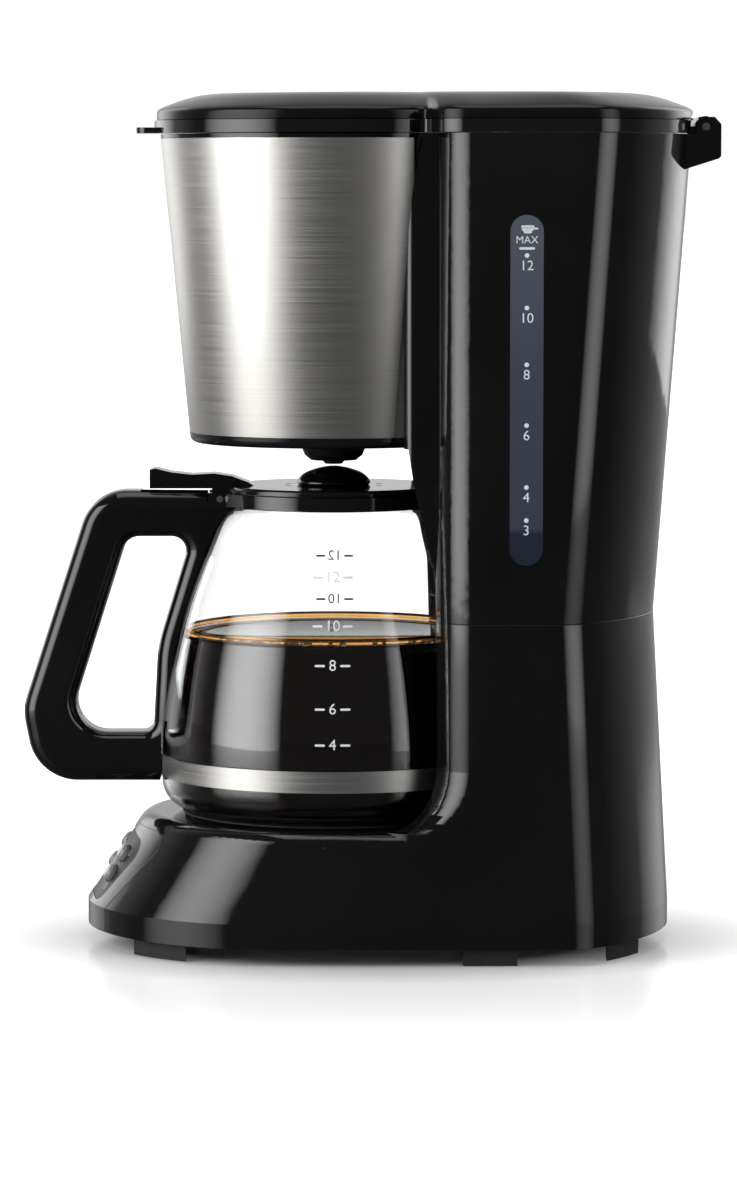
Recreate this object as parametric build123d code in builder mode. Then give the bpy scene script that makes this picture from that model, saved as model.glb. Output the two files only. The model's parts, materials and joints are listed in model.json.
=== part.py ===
from build123d import *
from math import atan2, copysign, cos, degrees, radians, sin, sqrt
import os

# Drip coffee maker. Millimetres, +Z up, the front faces -Y, X = 0 is the plane of symmetry.
# The origin is the middle of the whole object's footprint, on the surface it stands on.

# ---------------------------------------------------------------- driving dimensions
WALL = 2.6  # wall of the moulded shells
SEAM_GAP = 0.15  # half of the gap at a seam between two shells

FLOOR_Z = 7.0  # lower edge of the base shell
SKIRT_Z = 17.0  # top of the upright band around the base
DECK_Z = 54.0  # top of the base
SEAM_Z = 139.0  # seam between the base shell and the tank shell
HOPPER_FLOOR_Z = 208.7  # underside of the round filter hopper
RIM_Z = 336.6  # top edge of the tank and of the hopper
LID_SPLIT_Z = 342.4  # seam between the lid's liner and its cover
LID_TOP_Z = 354.0

BASE_HALF = 84.0  # half width of the base at the skirt
DECK_HALF = 79.0
COLUMN_HALF = 83.0
SIDE_BEND_Y = 17.0  # the base's sides are as wide as the column behind this
NOSE_Y = -118.5  # foremost point of the base
DECK_NOSE_Y = -94.0
BASE_REAR_Y = 125.5
DECK_REAR_STEP = 3.0  # how far the base's back leans in up to the deck
DECK_ROUND = 7.0
SEAM_REAR_Y = 119.0
RIM_REAR_Y = 134.0
BACK_RADIUS = 108.0  # the bowed back, in plan
BACK_CORNER = 24.0
COLUMN_FRONT_Y = 27.0
COLUMN_CORNER = 20.0
FLARE_RADIUS = 25.0  # sweep of the column's front corners into the deck
FLARE_STEPS = 8
PLATE_HOLE_R = 63.6
POST_PLACES = [(-58, -58), (58, -58), (-62, 66), (62, 66)]

AXIS_Y = -15.0  # the carafe, the plate and the hopper share this upright axis
BAY_DECK_R = 80.0  # hollow wall behind the carafe, at the deck
BAY_SEAM_R = 77.0
BAY_TOP_R = 68.4
NECK_FRONT_Y = 14.0  # neck that carries the hopper
NECK_HALF = 62.0

HOPPER_TOP_R = 71.4
HOPPER_LOW_R = 59.6
HOPPER_WALL = 3.0
WRAP_LOW_Z = 213.0
WRAP_TOP_Z = 334.9
WRAP_THICK = 0.6

HINGE_Y = 138.4
HINGE_Z = 339.6
HINGE_PIN_R = 1.6

PLATE_R = 61.0
GLASS_Z = 55.1  # underside of the carafe's glass
GLASS_WALL = 2.2
LID_PIVOT_Y = -62.4
LID_PIVOT_Z = 185.2
KNOB_TOP_Z = 198.6
PLUNGER_TIP_Z = 199.4
SPIGOT_Z = 201.0

os.makedirs("parts", exist_ok=True)
CARAFE_AXIS = Plane.XZ.offset(-AXIS_Y)  # drawing plane through the carafe's axis


def keep(builder, name):
    """Label a finished piece and write it as a STEP file named after it."""
    builder.part.label = name
    export_step(builder.part, f"parts/{name}.step")


# ---------------------------------------------------------------- outlines seen from above
def back_end(half, rear_y, radius=BACK_RADIUS):
    """Where the bowed back meets a side wall."""
    return rear_y - radius + sqrt(radius**2 - half**2)


def nose_plan(half, rear_half, front_y, rear_y, inset=0.0):
    """Half-round nose, sides that reach the column's width, and a bowed back with rounded corners."""
    half -= inset
    rear_half -= inset
    front_y += inset
    rear_y -= inset
    start = front_y + half
    end = back_end(rear_half, rear_y, BACK_RADIUS - inset)
    with BuildSketch() as plan:
        with BuildLine():
            ThreePointArc((-half, start), (0, front_y), (half, start))
            Polyline((half, start), (rear_half, SIDE_BEND_Y), (rear_half, end))
            ThreePointArc((rear_half, end), (0, rear_y), (-rear_half, end))
            Polyline((-rear_half, end), (-rear_half, SIDE_BEND_Y), (-half, start))
        make_face()
        corners = plan.vertices().filter_by_position(Axis.Y, end - 1, end + 1)
        fillet(corners, BACK_CORNER - inset)
    return plan.sketch


def column_plan(half, front_y, rear_y, inset=0.0, corner=COLUMN_CORNER):
    """Straight front, rounded front corners, straight sides and a bowed back."""
    half -= inset
    front_y += inset
    rear_y -= inset
    end = back_end(half, rear_y, BACK_RADIUS - inset)
    with BuildSketch() as plan:
        with BuildLine():
            Line((-half, front_y), (half, front_y))
            Line((half, front_y), (half, end))
            ThreePointArc((half, end), (0, rear_y), (-half, end))
            Line((-half, end), (-half, front_y))
        make_face()
        front = plan.vertices().filter_by_position(Axis.Y, front_y - 1, front_y + 1)
        fillet(front, corner - inset)
        back = plan.vertices().filter_by_position(Axis.Y, end - 1, end + 1)
        fillet(back, BACK_CORNER - inset)
    return plan.sketch


def between(low, high, z, z_low, z_high):
    """Straight-line value at height z."""
    return low + (high - low) * (z - z_low) / (z_high - z_low)


# ---------------------------------------------------------------- base shell
def skirt_plan(inset=0.0):
    """Outline of the upright band around the base."""
    return nose_plan(BASE_HALF, BASE_HALF, NOSE_Y, BASE_REAR_Y, inset)


def base_body(inset=0.0):
    """Skirt and sloping body of the base, with a rounded top edge."""
    floor = FLOOR_Z if inset == 0 else FLOOR_Z - 1
    deck_rear_half = between(BASE_HALF, COLUMN_HALF, DECK_Z, SKIRT_Z, SEAM_Z)
    with BuildPart() as body:
        with BuildSketch(Plane.XY.offset(floor)):
            add(skirt_plan(inset))
        extrude(amount=SKIRT_Z - floor)
        with BuildSketch(Plane.XY.offset(SKIRT_Z)):
            add(skirt_plan(inset))
        with BuildSketch(Plane.XY.offset(DECK_Z - inset)):
            add(nose_plan(DECK_HALF, deck_rear_half, DECK_NOSE_Y, BASE_REAR_Y - DECK_REAR_STEP, inset))
        loft(ruled=True)
        fillet(body.edges().group_by(Axis.Z)[-1], DECK_ROUND - inset)
    return body.part


def column_sections(inset):
    """Heights of the column with the place of its front: upright, then an arc down into the deck."""
    centre_y = COLUMN_FRONT_Y - FLARE_RADIUS
    centre_z = DECK_Z + FLARE_RADIUS
    radius = FLARE_RADIUS + inset
    sections = [(SKIRT_Z, centre_y)]
    for step in range(FLARE_STEPS + 1):
        turn = radians(90 * step / FLARE_STEPS)
        sections.append((centre_z - radius * cos(turn), centre_y + radius * sin(turn)))
    sections.append((SEAM_Z, COLUMN_FRONT_Y + inset))
    return sections


def column_body(inset=0.0, top=SEAM_Z):
    """The column, whose front corners sweep out into the deck."""
    with BuildPart() as body:
        for z, front in column_sections(inset):
            half = between(BASE_HALF, COLUMN_HALF, z, SKIRT_Z, SEAM_Z)
            rear = between(BASE_REAR_Y, SEAM_REAR_Y, z, SKIRT_Z, SEAM_Z)
            with BuildSketch(Plane.XY.offset(z)):
                add(column_plan(half, front - inset, rear, inset))
        loft(ruled=True)
        if top > SEAM_Z:
            extrude(body.faces().sort_by(Axis.Z)[-1], amount=top - SEAM_Z)
    return body.part


def bay(grow=0.0):
    """The round space that the carafe stands in, up to the hopper's floor."""
    with BuildPart() as space:
        with BuildSketch(CARAFE_AXIS):
            with BuildLine():
                Polyline(
                    (0, DECK_Z - grow),
                    (BAY_DECK_R + grow, DECK_Z - grow),
                    (BAY_SEAM_R + grow, SEAM_Z),
                    (BAY_TOP_R + grow, HOPPER_FLOOR_Z),
                    (0, HOPPER_FLOOR_Z),
                    close=True,
                )
            make_face()
        revolve(axis=Axis((0, AXIS_Y, 0), (0, 0, 1)))
    return space.part


PANEL_ORIGIN = (0, -107.6, 33.5)
PANEL_TILT = 56.5  # slope of the nose, from level
PANEL_NORMAL = Vector(0, -sin(radians(PANEL_TILT)), cos(radians(PANEL_TILT)))
PANEL_PLANE = Plane(origin=PANEL_ORIGIN, x_dir=(1, 0, 0), z_dir=PANEL_NORMAL)


def fascia_block(gap=0.0):
    """The part of the nose that the control fascia takes up."""
    with BuildPart() as block:
        with BuildSketch(Plane.XZ.offset(60)):
            with BuildLine():
                Polyline(
                    (-37 + gap, FLOOR_Z - 2),
                    (37 - gap, FLOOR_Z - 2),
                    (37 - gap, SKIRT_Z),
                    (46.5 - gap, 43.0),
                    (42 - gap, 49.4 - gap),
                    (-42 + gap, 49.4 - gap),
                    (-46.5 + gap, 43.0),
                    (-37 + gap, SKIRT_Z),
                    close=True,
                )
            make_face()
        extrude(amount=80)
    return block.part


def panel_block(gap=0.0):
    """A prism through the nose with the outline of the control panel."""
    with BuildPart() as block:
        with BuildSketch(PANEL_PLANE.offset(-14)) as outline:
            with BuildLine():
                Polyline((-27, -16), (27, -16), (36.5, 16), (-36.5, 16), close=True)
            make_face()
            fillet(outline.vertices(), 7)
            offset(amount=-gap)
        extrude(amount=30)
    return block.part


# ---------------------------------------------------------------- the lower shell
with BuildPart() as shell_outside:
    add(base_body())
    add(column_body())
    add(bay(), mode=Mode.SUBTRACT)

with BuildPart() as shell_inside:
    add(base_body(WALL))
    add(column_body(WALL, SEAM_Z + 1))
    add(bay(WALL), mode=Mode.SUBTRACT)

with BuildPart() as lower_shell:
    add(shell_outside.part)
    add(shell_inside.part, mode=Mode.SUBTRACT)
    with BuildSketch(Plane.XY.offset(DECK_Z + 1)):
        with Locations((0, AXIS_Y)):
            Circle(PLATE_HOLE_R)
    extrude(amount=-8, mode=Mode.SUBTRACT)

RIB_X = 72.0
INLET_X = -34.0
INLET_Z = 26.0

with BuildPart() as base_housing:
    add(lower_shell.part)
    add(fascia_block(), mode=Mode.SUBTRACT)
    with BuildSketch(Plane.XZ.offset(-130)):
        with Locations((INLET_X, INLET_Z)):
            RectangleRounded(17, 13, 3)
    extrude(amount=30, mode=Mode.SUBTRACT)
    # four screw posts: the front two hang from the deck, the rear two are ribbed to the side walls
    for x, y in POST_PLACES:
        with BuildSketch(Plane.XY.offset(FLOOR_Z + 2.6)):
            with Locations((x, y)):
                Circle(4.5)
            if y > 0:
                with Locations((copysign(RIB_X, x), y)):
                    Rectangle(20, 2.4)
        extrude(amount=DECK_Z - WALL - FLOOR_Z - 2.4)
    with BuildSketch(Plane.XY.offset(FLOOR_Z + 2.6)):
        with Locations(*POST_PLACES):
            Circle(1.7)
    extrude(amount=16, mode=Mode.SUBTRACT)
keep(base_housing, "base_housing")

# ---------------------------------------------------------------- controls on the nose
BUTTON_X = 20.0
BUTTON_ROWS = (37.7, 29.4)
BUTTON_R = 3.75
DISH = 1.4  # how far the control panel is let into the fascia
LENS_THICK = 1.0
DOME_ROUND = 1.9


def button_plane(x, z, lift=0.0):
    """A plane on the nose, square to its surface, at a button's place."""
    front = between(NOSE_Y, DECK_NOSE_Y, z, SKIRT_Z, DECK_Z)
    half = between(BASE_HALF, DECK_HALF, z, SKIRT_Z, DECK_Z)
    y = front + half - sqrt(half**2 - x**2)
    lean = radians(PANEL_TILT)
    turn = atan2(x, half)
    normal = Vector(sin(lean) * sin(turn), -sin(lean) * cos(turn), cos(lean))
    origin = Vector(x, y, z) + normal * lift
    return Plane(origin=origin, x_dir=(cos(turn), sin(turn), 0), z_dir=normal)


BUTTON_PLANES = [button_plane(side * BUTTON_X, z) for side in (-1, 1) for z in BUTTON_ROWS]

with BuildPart() as dish_floor:
    add(base_body(DISH))

with BuildPart() as panel_top:
    add(base_body(0.3))

with BuildPart() as panel_recess:
    add(panel_block())
    add(dish_floor.part, mode=Mode.SUBTRACT)

with BuildPart() as control_fascia:
    add(lower_shell.part)
    add(fascia_block(SEAM_GAP), mode=Mode.INTERSECT)
    add(panel_recess.part, mode=Mode.SUBTRACT)
    for plane in BUTTON_PLANES:
        with BuildSketch(plane.offset(4)):
            Circle(BUTTON_R + 0.45)
        extrude(amount=-14, mode=Mode.SUBTRACT)
    with BuildSketch(PANEL_PLANE.offset(8)):
        RectangleRounded(22, 17, 1.5)
    extrude(amount=-20, mode=Mode.SUBTRACT)
keep(control_fascia, "control_fascia")

with BuildPart() as control_panel:
    add(panel_block(0.12))
    add(panel_top.part, mode=Mode.INTERSECT)
    add(dish_floor.part, mode=Mode.SUBTRACT)
    for plane in BUTTON_PLANES:
        with BuildSketch(plane.offset(4)):
            Circle(BUTTON_R + 0.45)
        extrude(amount=-14, mode=Mode.SUBTRACT)
    with BuildSketch(PANEL_PLANE.offset(8)):
        RectangleRounded(22, 17, 1.5)
    extrude(amount=-20, mode=Mode.SUBTRACT)
keep(control_panel, "control_panel")

with BuildPart() as lcd_lens:
    with BuildSketch(PANEL_PLANE.offset(8)):
        RectangleRounded(21.7, 16.7, 1.4)
    extrude(amount=-20)
    add(panel_top.part, mode=Mode.INTERSECT)
    add(base_body(DISH + LENS_THICK), mode=Mode.SUBTRACT)
keep(lcd_lens, "lcd_lens")

for number, plane in enumerate(BUTTON_PLANES, start=1):
    with BuildPart() as button:
        with BuildSketch(plane.offset(-4.2)):
            Circle(BUTTON_R)
        extrude(amount=4.6)
        with BuildSketch(plane.offset(0.4)):
            Circle(BUTTON_R)
        extrude(amount=2.0)
        rims = button.edges().filter_by(GeomType.CIRCLE)
        fillet(rims.sort_by(lambda edge: plane.to_local_coords(edge).center().Z)[-1], DOME_ROUND)
        with BuildSketch(plane.offset(-5.4)):
            Circle(BUTTON_R + 1.0)
        extrude(amount=1.2)
    keep(button, f"button_{number}")

BOARD_PLANE = PANEL_PLANE.offset(-12.5)
with BuildPart() as control_board:
    with BuildSketch(BOARD_PLANE):
        RectangleRounded(58, 30, 2)
    extrude(amount=-1.6)
keep(control_board, "control_board")

with BuildPart() as tact_switches:
    for plane in BUTTON_PLANES:
        foot = BOARD_PLANE.to_local_coords(plane.origin)
        with BuildSketch(BOARD_PLANE):
            with Locations((foot.X, foot.Y)):
                Rectangle(6, 6)
        extrude(amount=3.4)
keep(tact_switches, "tact_switches")

# ---------------------------------------------------------------- underside
PLATE_TOP_Z = FLOOR_Z + 2.5
with BuildPart() as bottom_plate:
    with BuildSketch(Plane.XY.offset(FLOOR_Z + 0.2)):
        add(skirt_plan(WALL + 0.4))
    extrude(amount=2.3)
    with Locations(Plane.XY.offset(FLOOR_Z + 0.2)):
        with Locations(*POST_PLACES):
            Hole(2.0)
    with BuildSketch(Plane.XY.offset(FLOOR_Z)):
        with Locations((0, AXIS_Y)):
            with GridLocations(9, 0, 7, 1):
                SlotOverall(46, 4, rotation=90)
        with Locations((0, 72)):
            with GridLocations(9, 0, 7, 1):
                SlotOverall(26, 4, rotation=90)
    extrude(amount=4, mode=Mode.SUBTRACT)
keep(bottom_plate, "bottom_plate")

FOOT_WIDTH = 22.0
with BuildPart() as feet:
    with BuildSketch() as ring:
        add(skirt_plan(3.4))
        add(skirt_plan(9.4), mode=Mode.SUBTRACT)
    extrude(amount=FLOOR_Z + 0.2)
    with BuildSketch() as gaps:
        Rectangle(300, 400)
        with Locations((0, 49)):
            Rectangle(300, FOOT_WIDTH, mode=Mode.SUBTRACT)
        with Locations((0, -86)):
            Rectangle(160, FOOT_WIDTH, mode=Mode.SUBTRACT)
        with Locations((0, 104)):
            Rectangle(160, FOOT_WIDTH - 8, mode=Mode.SUBTRACT)
    extrude(amount=FLOOR_Z + 1, mode=Mode.SUBTRACT)
keep(feet, "feet")

with BuildPart() as bottom_screws:
    with BuildSketch(Plane.XY.offset(FLOOR_Z - 1.6)):
        with Locations(*POST_PLACES):
            Circle(3.4)
    extrude(amount=1.8)
    with BuildSketch(Plane.XY.offset(FLOOR_Z + 0.2)):
        with Locations(*POST_PLACES):
            Circle(1.6)
    extrude(amount=12)
keep(bottom_screws, "bottom_screws")

with BuildPart() as cord_inlet:
    with BuildSketch(Plane.XZ.offset(-112)):
        with Locations((INLET_X, INLET_Z)):
            RectangleRounded(16.6, 12.6, 2.8)
    extrude(amount=-13)
    with BuildSketch(Plane.XZ.offset(-112)):
        with Locations((INLET_X, INLET_Z)):
            RectangleRounded(22, 18, 4)
    extrude(amount=2)
    with BuildSketch(Plane.XZ.offset(-109)):
        with Locations((INLET_X, INLET_Z)):
            Circle(3.6)
    extrude(amount=-17, mode=Mode.SUBTRACT)
keep(cord_inlet, "cord_inlet")

# ---------------------------------------------------------------- heater under the plate
with BuildPart() as plate_gasket:
    with BuildSketch(Plane.XY.offset(DECK_Z - WALL - 1.4)):
        with Locations((0, AXIS_Y)):
            Circle(PLATE_HOLE_R + 3)
            Circle(PLATE_R - 3, mode=Mode.SUBTRACT)
    extrude(amount=1.4)
    with BuildSketch(Plane.XY.offset(DECK_Z - WALL)):
        with Locations((0, AXIS_Y)):
            Circle(PLATE_HOLE_R - 0.1)
            Circle(PLATE_R + 0.2, mode=Mode.SUBTRACT)
    extrude(amount=WALL + 0.3)
keep(plate_gasket, "plate_gasket")

PLATE_THICK = 1.5
with BuildPart() as warming_plate:
    with BuildSketch(CARAFE_AXIS):
        with BuildLine():
            Polyline(
                (0, GLASS_Z - 0.1),
                (PLATE_R - 2, GLASS_Z - 0.1),
                (PLATE_R, GLASS_Z - 1.6),
                (PLATE_R, DECK_Z - WALL),
                (PLATE_R - PLATE_THICK, DECK_Z - WALL),
                (PLATE_R - PLATE_THICK, GLASS_Z - 2.0),
                (PLATE_R - 2.4, GLASS_Z - 0.1 - PLATE_THICK),
                (0, GLASS_Z - 0.1 - PLATE_THICK),
                close=True,
            )
        make_face()
    revolve(axis=Axis((0, AXIS_Y, 0), (0, 0, 1)))
keep(warming_plate, "warming_plate")

COIL_Z = 45.0
RING_R = 40.0
TAIL_Y = 42.0


def horseshoe(radius, tail_x, tube, bore=0.0):
    """A tube bent to an open ring under the plate, with two tails to the back."""
    left = (-tail_x, AXIS_Y + sqrt(radius**2 - tail_x**2))
    right = (tail_x, left[1])
    with BuildPart() as tube_body:
        with BuildLine(Plane.XY.offset(COIL_Z)) as path:
            Line((left[0], TAIL_Y), left)
            ThreePointArc(left, (0, AXIS_Y - radius), right)
            Line(right, (right[0], TAIL_Y))
        with BuildSketch(Plane(origin=(left[0], TAIL_Y, COIL_Z), z_dir=(0, -1, 0))):
            Circle(tube)
            if bore:
                Circle(bore, mode=Mode.SUBTRACT)
        sweep(path=path.line, transition=Transition.ROUND)
    return tube_body


heating_element = horseshoe(RING_R, 31.0, 4.0)
keep(heating_element, "heating_element")

water_tube = horseshoe(RING_R - 9.0, 22.0, 4.3, 3.2)
keep(water_tube, "water_tube")

with BuildPart() as heat_spreader:
    with BuildSketch(Plane.XY.offset(COIL_Z + 4.35)):
        with Locations((0, AXIS_Y)):
            Circle(52)
    extrude(amount=GLASS_Z - 0.1 - PLATE_THICK - COIL_Z - 4.35)
keep(heat_spreader, "heat_spreader")

BRACKET_Z = COIL_Z - 4.4
with BuildPart() as heater_bracket:
    with BuildSketch(Plane.XY.offset(BRACKET_Z - 1.5)):
        with Locations((0, AXIS_Y)):
            Rectangle(24, 134)
    extrude(amount=1.5)
    with BuildSketch(Plane.XY.offset(BRACKET_Z)):
        with Locations((0, AXIS_Y - 63.5), (0, AXIS_Y + 63.5)):
            Rectangle(24, 7)
    extrude(amount=DECK_Z - WALL - 1.45 - BRACKET_Z)
    with BuildSketch(Plane.XY.offset(BRACKET_Z + 1)):
        with Locations((0, AXIS_Y)):
            Circle(3.1)
    extrude(amount=-4, mode=Mode.SUBTRACT)
keep(heater_bracket, "heater_bracket")

with BuildPart() as thermostat:
    with BuildSketch(Plane.XY.offset(BRACKET_Z - 1.5)):
        with Locations((0, AXIS_Y - 26)):
            Circle(8)
    extrude(amount=-7)
    with BuildSketch(Plane.XY.offset(BRACKET_Z - 6.0)):
        with Locations((0, AXIS_Y - 26)):
            Rectangle(26, 5)
    extrude(amount=-1.0)
keep(thermostat, "thermostat")

with BuildPart() as thermal_fuses:
    for x in (-6.0, 6.0):
        with BuildSketch(Plane.XZ.offset(-(AXIS_Y + 12))):
            with Locations((x, BRACKET_Z - 4.0)):
                Circle(2.3)
        extrude(amount=-18)
keep(thermal_fuses, "thermal_fuses")

with BuildPart() as heater_screw:
    with BuildSketch(Plane.XY.offset(BRACKET_Z - 1.5)):
        with Locations((0, AXIS_Y)):
            Circle(5)
    extrude(amount=-2)
    with BuildSketch(Plane.XY.offset(BRACKET_Z - 1.5)):
        with Locations((0, AXIS_Y)):
            Circle(3.0)
    extrude(amount=COIL_Z + 4.35 - BRACKET_Z + 1.5)
keep(heater_screw, "heater_screw")

with BuildPart() as terminal_block:
    with BuildSketch(Plane.XY.offset(PLATE_TOP_Z)):
        with Locations((INLET_X, 86)):
            Rectangle(36, 14)
    extrude(amount=14)
    with BuildSketch(Plane.XZ.offset(-93)):
        with Locations((INLET_X, PLATE_TOP_Z + 8)):
            with GridLocations(10, 0, 3, 1):
                Circle(2.6)
    extrude(amount=4, mode=Mode.SUBTRACT)
keep(terminal_block, "terminal_block")

# ---------------------------------------------------------------- upper shell with the tank
TANK_FLOOR = 3.0


def tank_body(inset=0.0, low=SEAM_Z + 0.3, top=RIM_Z):
    """Outer form of the upper shell, leaning back towards the top."""
    with BuildPart() as body:
        for z in (low, top):
            half = between(COLUMN_HALF, BASE_HALF, z, SEAM_Z, RIM_Z)
            rear = between(SEAM_REAR_Y, RIM_REAR_Y, z, SEAM_Z, RIM_Z)
            with BuildSketch(Plane.XY.offset(z)):
                add(column_plan(half, COLUMN_FRONT_Y, rear, inset))
        loft(ruled=True)
    return body.part


def hopper_radius(z):
    """Outside radius of the hopper's wall."""
    return between(HOPPER_LOW_R, HOPPER_TOP_R, z, WRAP_LOW_Z, RIM_Z)


def cone(low, top, grow=0.0):
    """A round solid that follows the hopper's wall, larger by grow."""
    with BuildPart() as body:
        with BuildSketch(CARAFE_AXIS):
            with BuildLine():
                Polyline(
                    (0, low),
                    (hopper_radius(low) + grow, low),
                    (hopper_radius(top) + grow, top),
                    (0, top),
                    close=True,
                )
            make_face()
        revolve(axis=Axis((0, AXIS_Y, 0), (0, 0, 1)))
    return body.part


RISER_X = 22.0
RISER_Y = 86.0
RISER_TOP_Z = 325.0
HOSE_X = -22.0
HOSE_Y = 92.0
WINDOW_Y = 63.0
WINDOW_LOW_Z = 163.0
WINDOW_HIGH_Z = 304.0
WINDOW_WIDTH = 13.6


def window_block(gap=0.0):
    """A prism through the right-hand wall with the sight window's outline."""
    with BuildPart() as block:
        with BuildSketch(Plane.YZ.offset(COLUMN_HALF - 10)):
            with Locations((WINDOW_Y, (WINDOW_LOW_Z + WINDOW_HIGH_Z) / 2)):
                SlotOverall(WINDOW_HIGH_Z - WINDOW_LOW_Z - 2 * gap, WINDOW_WIDTH - 2 * gap, rotation=90)
        extrude(amount=14)
    return block.part


BRACKET_HALF = 27.0
BRACKET_LOW_Z = 326.5
EAR_WIDTH = 5.0
KNUCKLE_R = 4.4
HINGE_CLEAR_R = 6.6  # the lid is cut away this far around the hinge's axis


def neck_block(inset=0.0, low=SEAM_Z + 0.3, top=RIM_Z):
    """The block between the tank and the hopper."""
    with BuildPart() as block:
        with BuildSketch(Plane.XY.offset(low)) as outline:
            with Locations((0, (NECK_FRONT_Y + 60) / 2)):
                Rectangle(2 * NECK_HALF - 2 * inset, 60 - NECK_FRONT_Y - 2 * inset)
            fillet(outline.vertices().group_by(Axis.Y)[0], 5 - inset)
        extrude(amount=top - low)
    return block.part


with BuildPart() as water_space:
    add(tank_body(WALL, SEAM_Z + TANK_FLOOR, RIM_Z + 0.5))
    add(neck_block(WALL, SEAM_Z + TANK_FLOOR, RIM_Z + 0.5))
    add(bay(WALL), mode=Mode.SUBTRACT)
    add(cone(HOPPER_FLOOR_Z - WALL, RIM_Z + 1, WALL + WRAP_THICK), mode=Mode.SUBTRACT)

with BuildPart() as tank_housing:
    add(tank_body())
    add(neck_block())
    # hinge bracket at the back
    with BuildSketch(Plane.YZ.offset(-BRACKET_HALF)):
        with BuildLine():
            Polyline(
                (RIM_REAR_Y - 9, BRACKET_LOW_Z - 6),
                (RIM_REAR_Y - 3, BRACKET_LOW_Z - 4),
                (HINGE_Y + 5.2, BRACKET_LOW_Z),
                (HINGE_Y + 6.2, BRACKET_LOW_Z + 1),
                (HINGE_Y + 6.2, HINGE_Z + 1),
                (HINGE_Y + 3.5, HINGE_Z + 4),
                (HINGE_Y - 3, HINGE_Z + 4),
                (HINGE_Y - 4.6, RIM_Z),
                (RIM_REAR_Y - 9, RIM_Z),
                close=True,
            )
        make_face()
    extrude(amount=2 * BRACKET_HALF)
    with BuildSketch(Plane.YZ.offset(EAR_WIDTH - BRACKET_HALF)):
        with Locations((HINGE_Y, HINGE_Z)):
            Rectangle(15.4, 14)
    extrude(amount=2 * BRACKET_HALF - 2 * EAR_WIDTH, mode=Mode.SUBTRACT)
    with BuildSketch(Plane.YZ.offset(-BRACKET_HALF - 1)):
        with Locations((HINGE_Y, HINGE_Z)):
            Circle(HINGE_PIN_R)
    extrude(amount=2 * BRACKET_HALF + 2, mode=Mode.SUBTRACT)
    add(bay(), mode=Mode.SUBTRACT)
    add(cone(HOPPER_FLOOR_Z - 0.2, RIM_Z + 1, WRAP_THICK), mode=Mode.SUBTRACT)
    add(water_space.part, mode=Mode.SUBTRACT)
    add(window_block(), mode=Mode.SUBTRACT)
    with BuildSketch(Plane.XY.offset(SEAM_Z - 1)):
        with Locations((RISER_X, RISER_Y)):
            Circle(5.05)
        with Locations((HOSE_X, HOSE_Y)):
            Circle(4)
    extrude(amount=TANK_FLOOR + 2, mode=Mode.SUBTRACT)
keep(tank_housing, "tank_housing")

with BuildPart() as sight_window:
    add(window_block(0.1))
    add(tank_body(0.1), mode=Mode.INTERSECT)
    add(tank_body(WALL + 0.6), mode=Mode.SUBTRACT)
keep(sight_window, "sight_window")

# ---------------------------------------------------------------- hopper
STEP_Z = 334.4  # ledge that the filter basket hangs on
with BuildPart() as hopper_lining:
    add(cone(HOPPER_FLOOR_Z + 2.8, RIM_Z + 1, -HOPPER_WALL))
    add(cone(STEP_Z, RIM_Z + 1, -1.2))

with BuildPart() as wrap_recess:
    add(cone(WRAP_LOW_Z, WRAP_TOP_Z, 5))
    add(cone(WRAP_LOW_Z - 1, WRAP_TOP_Z + 1), mode=Mode.SUBTRACT)

with BuildPart() as filter_housing:
    add(cone(HOPPER_FLOOR_Z, RIM_Z, WRAP_THICK))
    fillet(filter_housing.edges().group_by(Axis.Z)[0], 3)
    add(wrap_recess.part, mode=Mode.SUBTRACT)
    add(hopper_lining.part, mode=Mode.SUBTRACT)
    with BuildSketch(Plane.XY.offset(HOPPER_FLOOR_Z - 1)):
        with Locations((0, AXIS_Y)):
            Circle(16.5)
    extrude(amount=6, mode=Mode.SUBTRACT)
keep(filter_housing, "filter_housing")

with BuildPart() as steel_wrap:
    add(cone(WRAP_LOW_Z + 0.1, WRAP_TOP_Z - 0.1, WRAP_THICK))
    add(cone(WRAP_LOW_Z - 1, WRAP_TOP_Z + 1), mode=Mode.SUBTRACT)
    with BuildSketch(Plane.XY.offset(WRAP_LOW_Z - 1)):
        with Locations((0, NECK_FRONT_Y + 54)):
            Rectangle(200, 100)
    extrude(amount=WRAP_TOP_Z, mode=Mode.SUBTRACT)
keep(steel_wrap, "steel_wrap")

# ---------------------------------------------------------------- filter basket and drip valve
BASKET_FLOOR_Z = 216.0
BASKET_WALL = 1.8
BASKET_LOW_R = 48.0
BASKET_TOP_R = 66.0
FLANGE_R = 69.6
SPIGOT_R = 13.5
BORE_R = 6.5
STEM_R = 2.6
with BuildPart() as filter_basket:
    with BuildSketch(CARAFE_AXIS):
        with BuildLine():
            Polyline(
                (BORE_R, SPIGOT_Z),
                (9.5, SPIGOT_Z),
                (12.2, SPIGOT_Z + 2.2),
                (SPIGOT_R, SPIGOT_Z + 5.6),
                (SPIGOT_R, BASKET_FLOOR_Z),
                (BASKET_LOW_R, BASKET_FLOOR_Z + 2),
                (BASKET_TOP_R, STEP_Z),
                (BASKET_TOP_R, STEP_Z + 0.3),
                (FLANGE_R, STEP_Z + 0.3),
                (FLANGE_R, STEP_Z + 1.9),
                (BASKET_TOP_R - BASKET_WALL, STEP_Z + 1.9),
                (BASKET_LOW_R - BASKET_WALL, BASKET_FLOOR_Z + 4),
                (BORE_R, BASKET_FLOOR_Z + 2),
                close=True,
            )
        make_face()
    revolve(axis=Axis((0, AXIS_Y, 0), (0, 0, 1)))
    # ribs that hold the paper filter off the wall
    with Locations((0, AXIS_Y, BASKET_FLOOR_Z + 3.4)):
        with PolarLocations(0, 12):
            with Locations((40.2, 0, 0)):
                Box(14, 1.4, 9, align=(Align.CENTER, Align.CENTER, Align.MIN))
keep(filter_basket, "filter_basket")

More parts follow.
